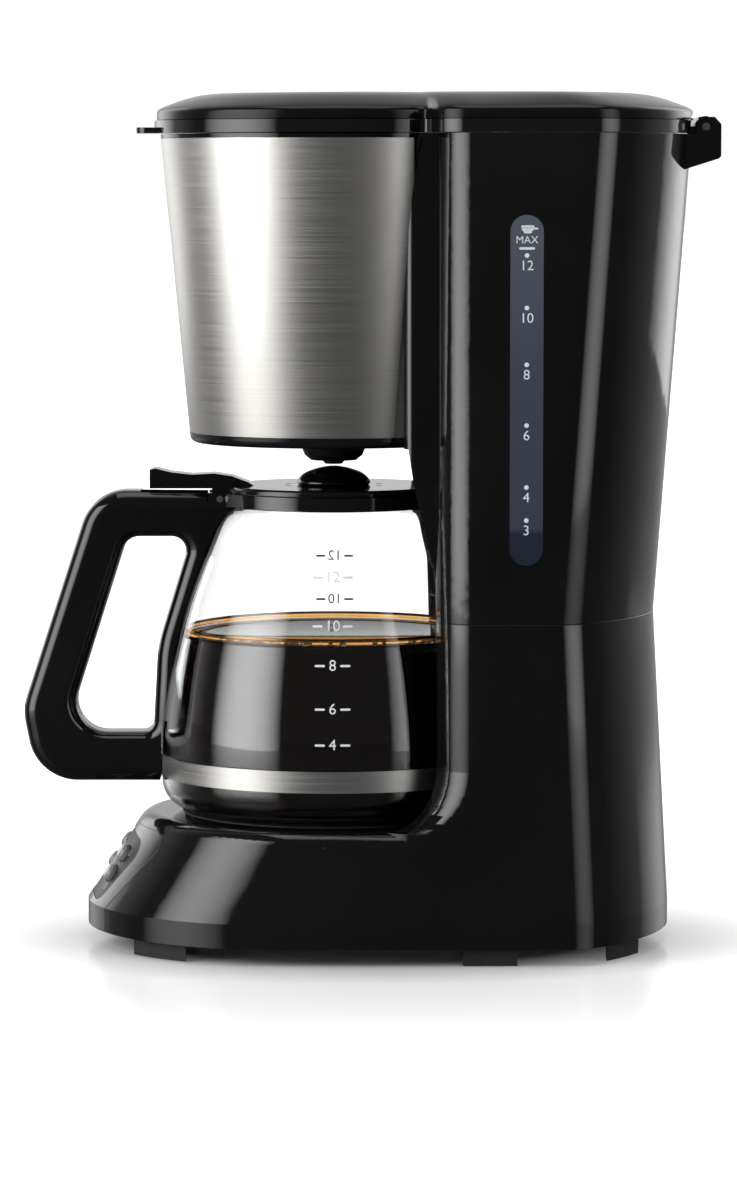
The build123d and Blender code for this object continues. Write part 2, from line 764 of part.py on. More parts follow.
HEAD_Z = BASKET_FLOOR_Z + 3.7
CAGE_Z = HEAD_Z + 15.0
with BuildPart() as valve_cage:
    with BuildSketch(Plane.XY.offset(CAGE_Z)):
        with Locations((0, AXIS_Y)):
            Circle(7)
            Circle(STEM_R + 0.4, mode=Mode.SUBTRACT)
    extrude(amount=2)
    with Locations((0, AXIS_Y, BASKET_FLOOR_Z + 2.5)):
        with PolarLocations(0, 3):
            with Locations((14, 0, 0)):
                Box(2, 4, CAGE_Z + 2 - BASKET_FLOOR_Z - 2.5, align=(Align.CENTER, Align.CENTER, Align.MIN))
            with Locations((10, 0, CAGE_Z - BASKET_FLOOR_Z - 2.5)):
                Box(8, 4, 2, align=(Align.CENTER, Align.CENTER, Align.MIN))
keep(valve_cage, "valve_cage")

with BuildPart() as valve_plunger:
    with BuildSketch(CARAFE_AXIS):
        with BuildLine():
            Polyline(
                (0, PLUNGER_TIP_Z),
                (3.6, PLUNGER_TIP_Z),
                (4.4, PLUNGER_TIP_Z + 1),
                (4.4, PLUNGER_TIP_Z + 3),
                (STEM_R, PLUNGER_TIP_Z + 5),
                (STEM_R, HEAD_Z),
                (9, HEAD_Z),
                (9, HEAD_Z + 1.6),
                (STEM_R, HEAD_Z + 1.6),
                (STEM_R, CAGE_Z + 5),
                (0, CAGE_Z + 5),
                close=True,
            )
        make_face()
    revolve(axis=Axis((0, AXIS_Y, 0), (0, 0, 1)))
keep(valve_plunger, "valve_plunger")

with BuildPart() as valve_seal:
    with BuildSketch(Plane.XY.offset(HEAD_Z - 1.3)):
        with Locations((0, AXIS_Y)):
            Circle(9.4)
            Circle(STEM_R + 0.05, mode=Mode.SUBTRACT)
    extrude(amount=1.3)
keep(valve_seal, "valve_seal")

with BuildPart() as valve_spring:
    with BuildLine(Plane.XY) as coil:
        Helix(2.4, 12.0, 4.4, center=(0, AXIS_Y, HEAD_Z + 2.3))
    with BuildSketch(Plane(origin=coil.line @ 0, z_dir=coil.line % 0)):
        Circle(0.45)
    sweep(path=coil.line, is_frenet=True)
keep(valve_spring, "valve_spring")

# ---------------------------------------------------------------- water path
with BuildPart() as check_valve:
    with BuildSketch(Plane.XY.offset(SEAM_Z - 13)):
        with Locations((HOSE_X, HOSE_Y)):
            Circle(7.5)
            Circle(3.2, mode=Mode.SUBTRACT)
    extrude(amount=13.2)
    with BuildSketch(Plane.XY.offset(SEAM_Z - 8)):
        with Locations((HOSE_X, HOSE_Y)):
            Circle(5)
    extrude(amount=6, mode=Mode.SUBTRACT)
keep(check_valve, "check_valve")

with BuildPart() as check_ball:
    with Locations((HOSE_X, HOSE_Y, SEAM_Z - 5)):
        Sphere(2.8)
keep(check_ball, "check_ball")

with BuildPart() as tank_strainer:
    with BuildSketch(Plane.XY.offset(SEAM_Z + TANK_FLOOR)):
        with Locations((HOSE_X, HOSE_Y)):
            Circle(8)
            Circle(6.6, mode=Mode.SUBTRACT)
    extrude(amount=8)
    with BuildSketch(Plane.XY.offset(SEAM_Z + TANK_FLOOR + 8)):
        with Locations((HOSE_X, HOSE_Y)):
            Circle(8)
            with PolarLocations(4.6, 8):
                Circle(0.9, mode=Mode.SUBTRACT)
    extrude(amount=1.4)
keep(tank_strainer, "tank_strainer")


def bent_tube(points, outside, bore):
    """A round tube along straight runs joined by an arc."""
    with BuildPart() as tube:
        with BuildLine() as path:
            FilletPolyline(*points, radius=16)
        with BuildSketch(Plane(origin=points[0], z_dir=Vector(points[1]) - Vector(points[0]))):
            Circle(outside)
            Circle(bore, mode=Mode.SUBTRACT)
        sweep(path=path.line)
    return tube


hose_route = [(HOSE_X, TAIL_Y, COIL_Z), (HOSE_X, HOSE_Y, COIL_Z), (HOSE_X, HOSE_Y, SEAM_Z - 13)]
inlet_hose = bent_tube(hose_route, 4.8, 3.4)
keep(inlet_hose, "inlet_hose")

riser_route = [(RISER_X, TAIL_Y, COIL_Z), (RISER_X, RISER_Y, COIL_Z), (RISER_X, RISER_Y, RISER_TOP_Z)]
riser_tube = bent_tube(riser_route, 5.0, 3.6)
keep(riser_tube, "riser_tube")

with BuildPart() as riser_nozzle:
    with BuildSketch(Plane.XY.offset(RISER_TOP_Z - 4)):
        with Locations((RISER_X, RISER_Y)):
            Circle(7)
            Circle(5.05, mode=Mode.SUBTRACT)
    extrude(amount=4)
    with BuildSketch(Plane.XY.offset(RISER_TOP_Z)):
        with Locations((RISER_X, RISER_Y)):
            Circle(7)
            Circle(3.2, mode=Mode.SUBTRACT)
    extrude(amount=10.4)
    # bracket to the bay's wall
    with BuildSketch(Plane.XY.offset(RISER_TOP_Z - 3)):
        with Locations((RISER_X, (RISER_Y + 60) / 2)):
            Rectangle(5, RISER_Y - 60 - 12.2)
    extrude(amount=3)
keep(riser_nozzle, "riser_nozzle")

# ---------------------------------------------------------------- lid of the machine
LID_GAP = 0.4
LINER_Z = RIM_Z + LID_GAP
LINER_PLATE = 2.2
NOZZLE_Y = AXIS_Y


def lid_plan(overhang):
    """Round front lobe over the hopper and an oval rear lobe over the tank."""
    with BuildSketch() as plan:
        with Locations((0, AXIS_Y)):
            Circle(HOPPER_TOP_R + 1.5 + overhang)
        add(column_plan(BASE_HALF - 0.5 + overhang, COLUMN_FRONT_Y - 3, RIM_REAR_Y + overhang))
        with Locations((0, 20)):
            Rectangle(2 * NECK_HALF - 4, 30)
        offset(amount=3)
        offset(amount=-3)
    return plan.sketch


def around_hinge(radius, half):
    """A bar along the hinge's axis."""
    with BuildPart() as bar:
        with BuildSketch(Plane.YZ.offset(-half)):
            with Locations((HINGE_Y, HINGE_Z)):
                Circle(radius)
        extrude(amount=2 * half)
    return bar.part


KNUCKLE_HALF = BRACKET_HALF - EAR_WIDTH - 0.4
with BuildPart() as lid_liner:
    with BuildSketch(Plane.XY.offset(LINER_Z)):
        add(lid_plan(1.6))
    extrude(amount=LID_SPLIT_Z - 0.2 - LINER_Z)
    with BuildSketch(Plane.XY.offset(LINER_Z)):
        with Locations((0, -86)):
            RectangleRounded(30, 21.4, 5)
    extrude(amount=2.4)
    with BuildSketch(Plane.XY.offset(LINER_Z + LINER_PLATE)):
        add(lid_plan(-1.2))
    extrude(amount=10, mode=Mode.SUBTRACT)
    with BuildSketch(Plane.XY.offset(LINER_Z - 1)):
        with Locations((RISER_X, RISER_Y)):
            Circle(5)
        with Locations((0, NOZZLE_Y)):
            Circle(6)
    extrude(amount=6, mode=Mode.SUBTRACT)
    add(around_hinge(HINGE_CLEAR_R, BRACKET_HALF + 1), mode=Mode.SUBTRACT)
    add(around_hinge(KNUCKLE_R, KNUCKLE_HALF))
    with BuildSketch(Plane.XY.offset(LINER_Z)):
        with Locations((0, HINGE_Y - 5)):
            Rectangle(2 * KNUCKLE_HALF, 10)
    extrude(amount=2.8)
    add(around_hinge(HINGE_PIN_R + 0.05, BRACKET_HALF), mode=Mode.SUBTRACT)
keep(lid_liner, "lid_liner")

with BuildPart() as lid_cover:
    with BuildSketch(Plane.XY.offset(LID_SPLIT_Z)):
        add(lid_plan(0.6))
    extrude(amount=LID_TOP_Z - LID_SPLIT_Z)
    fillet(lid_cover.edges().group_by(Axis.Z)[-1], 8)
    with BuildSketch(Plane.XY.offset(LID_SPLIT_Z - 1)):
        add(lid_plan(-5))
    extrude(amount=LID_TOP_Z - LID_SPLIT_Z - 1.6, mode=Mode.SUBTRACT)
    add(around_hinge(HINGE_CLEAR_R, BRACKET_HALF + 1), mode=Mode.SUBTRACT)
keep(lid_cover, "lid_cover")

CHANNEL_RUN = sqrt(RISER_X**2 + (RISER_Y - NOZZLE_Y) ** 2)
CHANNEL_TURN = degrees(atan2(RISER_Y - NOZZLE_Y, RISER_X))
with BuildPart() as water_channel:
    with BuildSketch(Plane.XY.offset(LINER_Z + LINER_PLATE)):
        with Locations((RISER_X / 2, (RISER_Y + NOZZLE_Y) / 2)):
            SlotCenterToCenter(CHANNEL_RUN, 16, rotation=CHANNEL_TURN)
    extrude(amount=9)
    with BuildSketch(Plane.XY.offset(LINER_Z + LINER_PLATE - 1)):
        with Locations((RISER_X / 2, (RISER_Y + NOZZLE_Y) / 2)):
            SlotCenterToCenter(CHANNEL_RUN, 12.4, rotation=CHANNEL_TURN)
    extrude(amount=8.4, mode=Mode.SUBTRACT)
keep(water_channel, "water_channel")

SPRAY_R = 27.0
with BuildPart() as spray_plate:
    with BuildSketch(Plane.XY.offset(LINER_Z - 6)):
        with Locations((0, NOZZLE_Y)):
            Circle(SPRAY_R)
    extrude(amount=6)
    with BuildSketch(Plane.XY.offset(LINER_Z - 4.4)):
        with Locations((0, NOZZLE_Y)):
            Circle(SPRAY_R - 1.8)
    extrude(amount=6, mode=Mode.SUBTRACT)
    with BuildSketch(Plane.XY.offset(LINER_Z - 7)):
        with Locations((0, NOZZLE_Y)):
            with PolarLocations(9, 6):
                Circle(1.5)
            with PolarLocations(18, 12):
                Circle(1.5)
    extrude(amount=4, mode=Mode.SUBTRACT)
keep(spray_plate, "spray_plate")

with BuildPart() as hinge_pin:
    add(around_hinge(HINGE_PIN_R, BRACKET_HALF - 0.2))
keep(hinge_pin, "hinge_pin")

# ---------------------------------------------------------------- carafe
GLASS_R = 72.2
NECK_R = 42.3
NECK_Z = 184.5
GLASS_TOP_Z = 187.5
BAND_LOW_Z = 69.4
BAND_TOP_Z = 78.2
BAND_THICK = 0.5


def glass_body(inset=0.0, top=GLASS_TOP_Z):
    """The solid form of the jug: flat foot, round belly and an upright neck."""
    low = GLASS_Z + inset
    corner = 12.0
    slant = corner * (1 - cos(radians(45)))
    with BuildPart() as body:
        with BuildSketch(CARAFE_AXIS):
            with BuildLine():
                Line((0, low), (GLASS_R - corner, low))
                ThreePointArc(
                    (GLASS_R - corner, low),
                    (GLASS_R - slant - inset * 0.7, low + slant),
                    (GLASS_R - inset, GLASS_Z + corner),
                )
                Line((GLASS_R - inset, GLASS_Z + corner), (GLASS_R - inset, 82))
                Spline(
                    (GLASS_R - inset, 82),
                    (70.4 - inset, 104),
                    (65.5 - inset, 130),
                    (59.2 - inset, 151),
                    (53.2 - inset, 167),
                    (46.5 - inset * 0.8, 178.5),
                    (NECK_R - inset, NECK_Z),
                    tangents=[(0, 1), (-0.1, 1)],
                )
                Line((NECK_R - inset, NECK_Z), (NECK_R - inset, top))
                Line((NECK_R - inset, top), (0, top))
                Line((0, top), (0, low))
            make_face()
        revolve(axis=Axis((0, AXIS_Y, 0), (0, 0, 1)))
    return body.part


def upright_ring(inside, outside, low, top):
    """A plain ring around the carafe's axis."""
    with BuildPart() as ring:
        with BuildSketch(Plane.XY.offset(low)):
            with Locations((0, AXIS_Y)):
                Circle(outside)
                if inside:
                    Circle(inside, mode=Mode.SUBTRACT)
        extrude(amount=top - low)
    return ring.part


def across(y, z, radius, half):
    """A bar along X, centred on the plane of symmetry."""
    with BuildPart() as bar:
        with BuildSketch(Plane.YZ.offset(-half)):
            with Locations((y, z)):
                Circle(radius)
        extrude(amount=2 * half)
    return bar.part


with BuildPart() as carafe_glass:
    add(glass_body())
    add(glass_body(GLASS_WALL, GLASS_TOP_Z + 1), mode=Mode.SUBTRACT)
keep(carafe_glass, "carafe_glass")

with BuildPart() as carafe_band:
    add(upright_ring(GLASS_R + 0.02, GLASS_R + BAND_THICK, BAND_LOW_Z, BAND_TOP_Z))
keep(carafe_band, "carafe_band")

COLLAR_LOW_Z = 182.5
COLLAR_TOP_Z = 187.8
COLLAR_IN_R = 44.2
COLLAR_R = 47.0
ARM_HALF = 7.5
EAR_IN = 8.2
EAR_OUT = 11.4
PIVOT_PIN_R = 1.4
with BuildPart() as carafe_collar:
    add(upright_ring(COLLAR_IN_R, COLLAR_R, COLLAR_LOW_Z, COLLAR_TOP_Z))
    # pouring lip at the back
    with BuildSketch(Plane.XY.offset(COLLAR_LOW_Z + 1)) as lip:
        with BuildLine():
            Polyline((-16, AXIS_Y + 44), (16, AXIS_Y + 44), (5, AXIS_Y + 53), (-5, AXIS_Y + 53), close=True)
        make_face()
        fillet(lip.vertices().group_by(Axis.Y)[-1], 4)
    extrude(amount=COLLAR_TOP_Z - COLLAR_LOW_Z - 1)
    add(upright_ring(0, COLLAR_IN_R, COLLAR_LOW_Z - 1, COLLAR_TOP_Z + 1), mode=Mode.SUBTRACT)
    # ears for the lid's pin
    for side in (-1, 1):
        with BuildSketch(Plane.XY.offset(COLLAR_LOW_Z)):
            with Locations((side * (EAR_IN + EAR_OUT) / 2, LID_PIVOT_Y - 0.7)):
                Rectangle(EAR_OUT - EAR_IN, 8.6)
        extrude(amount=COLLAR_TOP_Z - COLLAR_LOW_Z)
    add(across(LID_PIVOT_Y, LID_PIVOT_Z, 4.4, EAR_IN), mode=Mode.SUBTRACT)
    add(across(LID_PIVOT_Y, LID_PIVOT_Z, PIVOT_PIN_R, 20), mode=Mode.SUBTRACT)
keep(carafe_collar, "carafe_collar")

with BuildPart() as carafe_lid_pin:
    add(across(LID_PIVOT_Y, LID_PIVOT_Z, PIVOT_PIN_R, EAR_OUT - 0.1))
keep(carafe_lid_pin, "carafe_lid_pin")

HANDLE_HALF = 12.0
SLOT_HALF = 8.3
SLOT_FLOOR_Z = 176.6
FOOT_SPLIT_Y = -107.0
GLASS_SIDE_Y = -74.0
EDGE_ROUND = 6.5
# corners of the handle's outside, each with its rounding, seen from the side as (Y, Z)
HANDLE_CORNERS = [
    ((-63.5, 188.4), 0),
    ((-115.6, 188.8), 20.0),
    ((-145.53, 97.0), 24.0),
    ((-139.5, 66.6), 21.0),
    ((-70.0, 66.6), 0),
    ((-60.0, 120.0), 0),
    ((-50.0, 178.0), 0),
]
# corners of the finger opening, each with its rounding
GRIP_CORNERS = [
    ((-101.3, 169.3), 7.0),
    ((-74.6, 169.3), 6.0),
    ((-88.6, 124.0), 60.0),
    ((-90.6, 87.2), 5.0),
    ((-127.4, 87.2), 13.0),
]
with BuildPart() as handle_blank:
    with BuildSketch(Plane.YZ.offset(-HANDLE_HALF)) as outline:
        with BuildLine():
            Polyline(*[place for place, radius in HANDLE_CORNERS], close=True)
        make_face()
        for place, radius in HANDLE_CORNERS:
            if radius:
                fillet(outline.vertices().sort_by_distance(Vector(*place))[0], radius)
    extrude(amount=2 * HANDLE_HALF)
    with BuildSketch(Plane.YZ.offset(-HANDLE_HALF)) as grip_hole:
        with BuildLine():
            Polyline(*[place for place, radius in GRIP_CORNERS], close=True)
        make_face()
        for place, radius in GRIP_CORNERS:
            fillet(grip_hole.vertices().sort_by_distance(Vector(*place))[0], radius)
    extrude(amount=2 * HANDLE_HALF, mode=Mode.SUBTRACT)
    rims = handle_blank.edges().filter_by(Plane.YZ)
    fillet(rims.filter_by(lambda edge: edge.center().Y < GLASS_SIDE_Y), EDGE_ROUND)
    # room for the jug, its band and its collar
    add(glass_body(), mode=Mode.SUBTRACT)
    add(upright_ring(0, GLASS_R + 0.9, BAND_LOW_Z - 9, BAND_TOP_Z + 14), mode=Mode.SUBTRACT)
    add(upright_ring(0, COLLAR_R + 0.2, COLLAR_LOW_Z - 0.3, COLLAR_TOP_Z + 12), mode=Mode.SUBTRACT)
    add(upright_ring(0, NECK_R + 3.2, COLLAR_LOW_Z - 10, COLLAR_TOP_Z + 12), mode=Mode.SUBTRACT)
    # slot that the lid's thumb lever sinks into
    with BuildSketch(Plane.XY.offset(SLOT_FLOOR_Z)):
        with Locations((0, (-95.5 - 60) / 2)):
            Rectangle(2 * SLOT_HALF, 35.5)
    extrude(amount=30, mode=Mode.SUBTRACT)
    with BuildSketch(Plane.XY.offset(COLLAR_LOW_Z - 0.3)):
        with Locations((0, LID_PIVOT_Y - 0.7)):
            Rectangle(2 * EAR_OUT + 0.6, 9.4)
    extrude(amount=30, mode=Mode.SUBTRACT)

with BuildPart() as foot_zone:
    with BuildSketch(Plane.XY.offset(60)):
        with Locations((0, FOOT_SPLIT_Y + 25)):
            Rectangle(60, 50)
    extrude(amount=22)

with BuildPart() as carafe_handle:
    add(handle_blank.part)
    add(foot_zone.part, mode=Mode.SUBTRACT)
keep(carafe_handle, "carafe_handle")

with BuildPart() as handle_foot:
    add(handle_blank.part)
    add(foot_zone.part, mode=Mode.INTERSECT)
    with BuildSketch(Plane.XZ.offset(80)):
        with Locations((0, 74)):
            Circle(1.5)
    extrude(amount=22, mode=Mode.SUBTRACT)
keep(handle_foot, "handle_foot")

with BuildPart() as band_screw:
    with BuildSketch(Plane.XZ.offset(88.4)):
        with Locations((0, 74)):
            Circle(1.5)
    extrude(amount=12)
keep(band_screw, "band_screw")

LID_LOW_Z = COLLAR_TOP_Z + 0.4
LID_R = 45.4
with BuildPart() as carafe_lid:
    add(upright_ring(0, LID_R, LID_LOW_Z, LID_LOW_Z + 2.4))
    fillet(carafe_lid.edges().group_by(Axis.Z)[-1], 1.4)
    add(upright_ring(36.0, 38.2, LID_LOW_Z - 7, LID_LOW_Z))
    # knob under the drip valve
    with BuildSketch(CARAFE_AXIS):
        with BuildLine():
            Spline(
                (0, KNOB_TOP_Z),
                (9.0, KNOB_TOP_Z - 1.6),
                (14.2, KNOB_TOP_Z - 4.6),
                (15.4, KNOB_TOP_Z - 7.0),
                (12.6, KNOB_TOP_Z - 9.2),
                tangents=[(1, 0), (-1, -0.6)],
            )
            Line((12.6, KNOB_TOP_Z - 9.2), (0, KNOB_TOP_Z - 9.2))
            Line((0, KNOB_TOP_Z - 9.2), (0, KNOB_TOP_Z))
        make_face()
    revolve(axis=Axis((0, AXIS_Y, 0), (0, 0, 1)))
    # arm and thumb lever
    with BuildSketch(Plane.YZ.offset(-ARM_HALF)):
        with BuildLine():
            Polyline(
                (-46.5, LID_LOW_Z + 1.2),
                (-50.5, 192.0),
                (-57.5, 194.6),
                (-65.0, 195.7),
                (-74.0, 195.2),
                (-83.0, 196.2),
                (-89.4, 197.8),
                (-91.8, 197.2),
                (-91.8, 189.4),
                (LID_PIVOT_Y - 3.4, 189.4),
                (LID_PIVOT_Y - 3.4, LID_PIVOT_Z),
                (LID_PIVOT_Y + 3.4, LID_PIVOT_Z),
                (LID_PIVOT_Y + 3.4, LID_LOW_Z),
                (-46.5, LID_LOW_Z),
                close=True,
            )
        make_face()
    extrude(amount=2 * ARM_HALF)
    add(across(LID_PIVOT_Y, LID_PIVOT_Z, 3.6, ARM_HALF))
    add(across(LID_PIVOT_Y, LID_PIVOT_Z, PIVOT_PIN_R + 0.06, 20), mode=Mode.SUBTRACT)
    with BuildSketch(Plane.XY.offset(LID_LOW_Z - 1)):
        with Locations((0, AXIS_Y)):
            with PolarLocations(20, 10):
                Circle(1.4)
            Circle(2.2)
    extrude(amount=14, mode=Mode.SUBTRACT)
keep(carafe_lid, "carafe_lid")
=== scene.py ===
"""Looks of the drip coffee maker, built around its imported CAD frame. Metres, +Z up, the front faces -Y."""
import json
from math import cos, pi, radians, sin

import bmesh
import bpy
from mathutils import Matrix, Vector


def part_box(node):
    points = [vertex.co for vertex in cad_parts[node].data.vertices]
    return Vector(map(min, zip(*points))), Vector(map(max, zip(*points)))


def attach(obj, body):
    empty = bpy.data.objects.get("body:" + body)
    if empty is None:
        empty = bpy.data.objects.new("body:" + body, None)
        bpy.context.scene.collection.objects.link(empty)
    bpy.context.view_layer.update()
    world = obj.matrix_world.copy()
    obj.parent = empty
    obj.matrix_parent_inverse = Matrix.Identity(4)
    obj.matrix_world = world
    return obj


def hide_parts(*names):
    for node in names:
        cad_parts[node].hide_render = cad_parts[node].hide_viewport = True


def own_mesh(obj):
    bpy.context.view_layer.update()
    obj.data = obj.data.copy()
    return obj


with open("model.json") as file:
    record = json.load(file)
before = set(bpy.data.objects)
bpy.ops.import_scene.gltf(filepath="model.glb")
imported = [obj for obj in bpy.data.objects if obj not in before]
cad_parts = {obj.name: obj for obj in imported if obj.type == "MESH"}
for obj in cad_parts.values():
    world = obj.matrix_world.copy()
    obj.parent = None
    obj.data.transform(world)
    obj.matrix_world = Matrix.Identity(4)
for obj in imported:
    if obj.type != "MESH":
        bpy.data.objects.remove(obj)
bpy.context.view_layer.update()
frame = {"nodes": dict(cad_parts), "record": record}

MM = 0.001
FLOOR_GLOW = 0.42  # how far the floor's painted glow lifts it towards white near the object
WORLD_DIM = 0.08  # what the surroundings on the camera's side give to reflections
BACKDROP = 0.75  # what the white backdrop behind the object gives to reflections
OUTSIDE = 0.3  # where rays towards the object start, clear of it
INK_LIFT = 0.12 * MM  # how far ink stands off the surface it is printed on
SEAM_RADIUS = 0.24 * MM


# ------------------------------------------------------------------ camera, as the photograph has it
CAMERA_DISTANCE = 2.0
EYE_HEIGHT = 0.3184
AIM = Vector((0, -0.0004, 0.142))
VIEW_HEIGHT = 0.504  # height of the picture in the plane of symmetry
SENSOR = 36.0


def make_camera():
    data = bpy.data.cameras.new("camera")
    camera = bpy.data.objects.new("camera", data)
    bpy.context.scene.collection.objects.link(camera)
    camera.location = (CAMERA_DISTANCE, AIM.y, EYE_HEIGHT)
    aim = AIM - camera.location
    camera.rotation_euler = aim.to_track_quat("-Z", "Y").to_euler()
    data.sensor_width = SENSOR
    data.lens = SENSOR * aim.length / VIEW_HEIGHT
    data.clip_end = 50
    bpy.context.scene.camera = camera


# ------------------------------------------------------------------ node helpers
def new_material(name):
    material = bpy.data.materials.new(name)
    material.use_nodes = True
    tree = material.node_tree
    shader = tree.nodes["Principled BSDF"]
    return material, tree, shader


def add_node(tree, kind, **values):
    node = tree.nodes.new(kind)
    for key, value in values.items():
        if hasattr(node, key):
            setattr(node, key, value)
        else:
            node.inputs[key.replace("_", " ")].default_value = value
    return node


def object_coords(tree, scale=(1, 1, 1)):
    coords = tree.nodes.new("ShaderNodeTexCoord")
    mapping = tree.nodes.new("ShaderNodeMapping")
    mapping.inputs["Scale"].default_value = scale
    tree.links.new(coords.outputs["Object"], mapping.inputs["Vector"])
    return mapping.outputs["Vector"]


def noise(tree, scale, detail=3.0, stretch=(1, 1, 1), rough=0.5):
    node = tree.nodes.new("ShaderNodeTexNoise")
    node.inputs["Scale"].default_value = scale
    node.inputs["Detail"].default_value = detail
    node.inputs["Roughness"].default_value = rough
    tree.links.new(object_coords(tree, stretch), node.inputs["Vector"])
    return node.outputs["Fac"]


def spread(tree, source, low, high, from_low=0.3, from_high=0.7):
    """Maps a 0..1 texture to a band of values."""
    node = tree.nodes.new("ShaderNodeMapRange")
    node.inputs["From Min"].default_value = from_low
    node.inputs["From Max"].default_value = from_high
    node.inputs["To Min"].default_value = low
    node.inputs["To Max"].default_value = high
    tree.links.new(source, node.inputs["Value"])
    return node.outputs["Result"]


def colour_ramp(tree, source, stops):
    """Colours along a 0..1 value; stops are (place, colour)."""
    ramp = tree.nodes.new("ShaderNodeValToRGB")
    elements = ramp.color_ramp.elements
    while len(elements) < len(stops):
        elements.new(0.5)
    for element, (place, colour) in zip(elements, stops):
        element.position = place
        element.color = (*colour, 1)
    tree.links.new(source, ramp.inputs["Fac"])
    return ramp.outputs["Color"]


def two_colours(tree, source, first, second, low=0.3, high=0.7):
    return colour_ramp(tree, source, [(low, first), (high, second)])


def add_bump(tree, shader, source, strength, distance):
    bump = tree.nodes.new("ShaderNodeBump")
    bump.inputs["Strength"].default_value = strength
    bump.inputs["Distance"].default_value = distance
    tree.links.new(source, bump.inputs["Height"])
    tree.links.new(bump.outputs["Normal"], shader.inputs["Normal"])


def moulded(name, dark, light, rough, grain, grain_depth, coat=0.0, specular=0.5):
    """Moulded plastic: slight colour drift, roughness that varies and a fine surface grain."""
    material, tree, shader = new_material(name)
    drift = noise(tree, 14.0, 4.0)
    tree.links.new(two_colours(tree, drift, dark, light), shader.inputs["Base Color"])
    tree.links.new(spread(tree, noise(tree, 60.0, 5.0), rough[0], rough[1]), shader.inputs["Roughness"])
    shader.inputs["Specular IOR Level"].default_value = specular
    shader.inputs["Coat Weight"].default_value = coat
    shader.inputs["Coat Roughness"].default_value = 0.04
    add_bump(tree, shader, noise(tree, grain, 2.0), 0.25, grain_depth)
    return material


def brushed_steel():
    """Sheet steel brushed around the hopper: long fine streaks, broad soft highlights."""
    material, tree, shader = new_material("brushed_steel")
    streaks = noise(tree, 1.0, 3.0, (14, 14, 4200), 0.6)
    clouds = noise(tree, 30.0, 4.0)
    mix = tree.nodes.new("ShaderNodeMix")
    mix.data_type = "RGBA"
    mix.blend_type = "MULTIPLY"
    mix.inputs["Factor"].default_value = 0.35
    tree.links.new(two_colours(tree, streaks, (0.50, 0.49, 0.47), (0.60, 0.59, 0.565)), mix.inputs["A"])
    tree.links.new(two_colours(tree, clouds, (0.86, 0.86, 0.86), (1, 1, 1)), mix.inputs["B"])
    tree.links.new(mix.outputs["Result"], shader.inputs["Base Color"])
    shader.inputs["Metallic"].default_value = 1.0
    shader.inputs["Anisotropic"].default_value = 0.55
    tree.links.new(spread(tree, streaks, 0.27, 0.38), shader.inputs["Roughness"])
    add_bump(tree, shader, streaks, 0.2, 0.00001)
    return material


def metal(name, colour, rough, grain=900.0):
    material, tree, shader = new_material(name)
    drift = noise(tree, 90.0, 5.0)
    darker = tuple(c * 0.82 for c in colour)
    tree.links.new(two_colours(tree, drift, darker, colour), shader.inputs["Base Color"])
    shader.inputs["Metallic"].default_value = 1.0
    tree.links.new(spread(tree, noise(tree, 220.0, 4.0), rough[0], rough[1]), shader.inputs["Roughness"])
    add_bump(tree, shader, noise(tree, grain, 3.0), 0.15, 0.00003)
    return material


def clear_glass():
    """Blown glass, with the faint waviness of a jug's wall."""
    material, tree, shader = new_material("jug_glass")
    shader.inputs["Base Color"].default_value = (0.985, 0.99, 0.985, 1)
    shader.inputs["Transmission Weight"].default_value = 1.0
    shader.inputs["IOR"].default_value = 1.46
    tree.links.new(spread(tree, noise(tree, 40.0, 3.0), 0.0, 0.012), shader.inputs["Roughness"])
    add_bump(tree, shader, noise(tree, 22.0, 1.0), 0.05, 0.0004)
    return material


def height_ramp(tree, stops):
    """Colour that changes with height; stops are (height in metres, colour)."""
    coords = tree.nodes.new("ShaderNodeTexCoord")
    split = tree.nodes.new("ShaderNodeSeparateXYZ")
    tree.links.new(coords.outputs["Object"], split.inputs["Vector"])
    low, high = stops[0][0], stops[-1][0]
    fac = spread(tree, split.outputs["Z"], 0.0, 1.0, low, high)
    return colour_ramp(tree, fac, [((height - low) / (high - low), colour) for height, colour in stops])


WATER_LEVEL = 0.178


def window_plastic():
    """Frosted blue-grey strip with a little water standing behind its foot."""
    material, tree, shader = new_material("window_plastic")
    stops = [
        (0.160, (0.012, 0.020, 0.035)),
        (WATER_LEVEL - 0.002, (0.014, 0.022, 0.040)),
        (WATER_LEVEL, (0.040, 0.052, 0.075)),
        (0.240, (0.048, 0.060, 0.086)),
        (0.306, (0.085, 0.100, 0.130)),
    ]
    tree.links.new(height_ramp(tree, stops), shader.inputs["Base Color"])
    tree.links.new(spread(tree, noise(tree, 300.0, 4.0), 0.16, 0.26), shader.inputs["Roughness"])
    shader.inputs["Coat Weight"].default_value = 0.4
    add_bump(tree, shader, noise(tree, 1500.0, 2.0), 0.12, 0.00003)
    return material


def smoke_dome():
    material, tree, shader = new_material("smoke_dome")
    tree.links.new(two_colours(tree, noise(tree, 300.0), (0.34, 0.35, 0.35), (0.46, 0.47, 0.47)),
                   shader.inputs["Base Color"])
    shader.inputs["Transmission Weight"].default_value = 0.45
    shader.inputs["IOR"].default_value = 1.49
    tree.links.new(spread(tree, noise(tree, 500.0), 0.12, 0.2), shader.inputs["Roughness"])
    return material


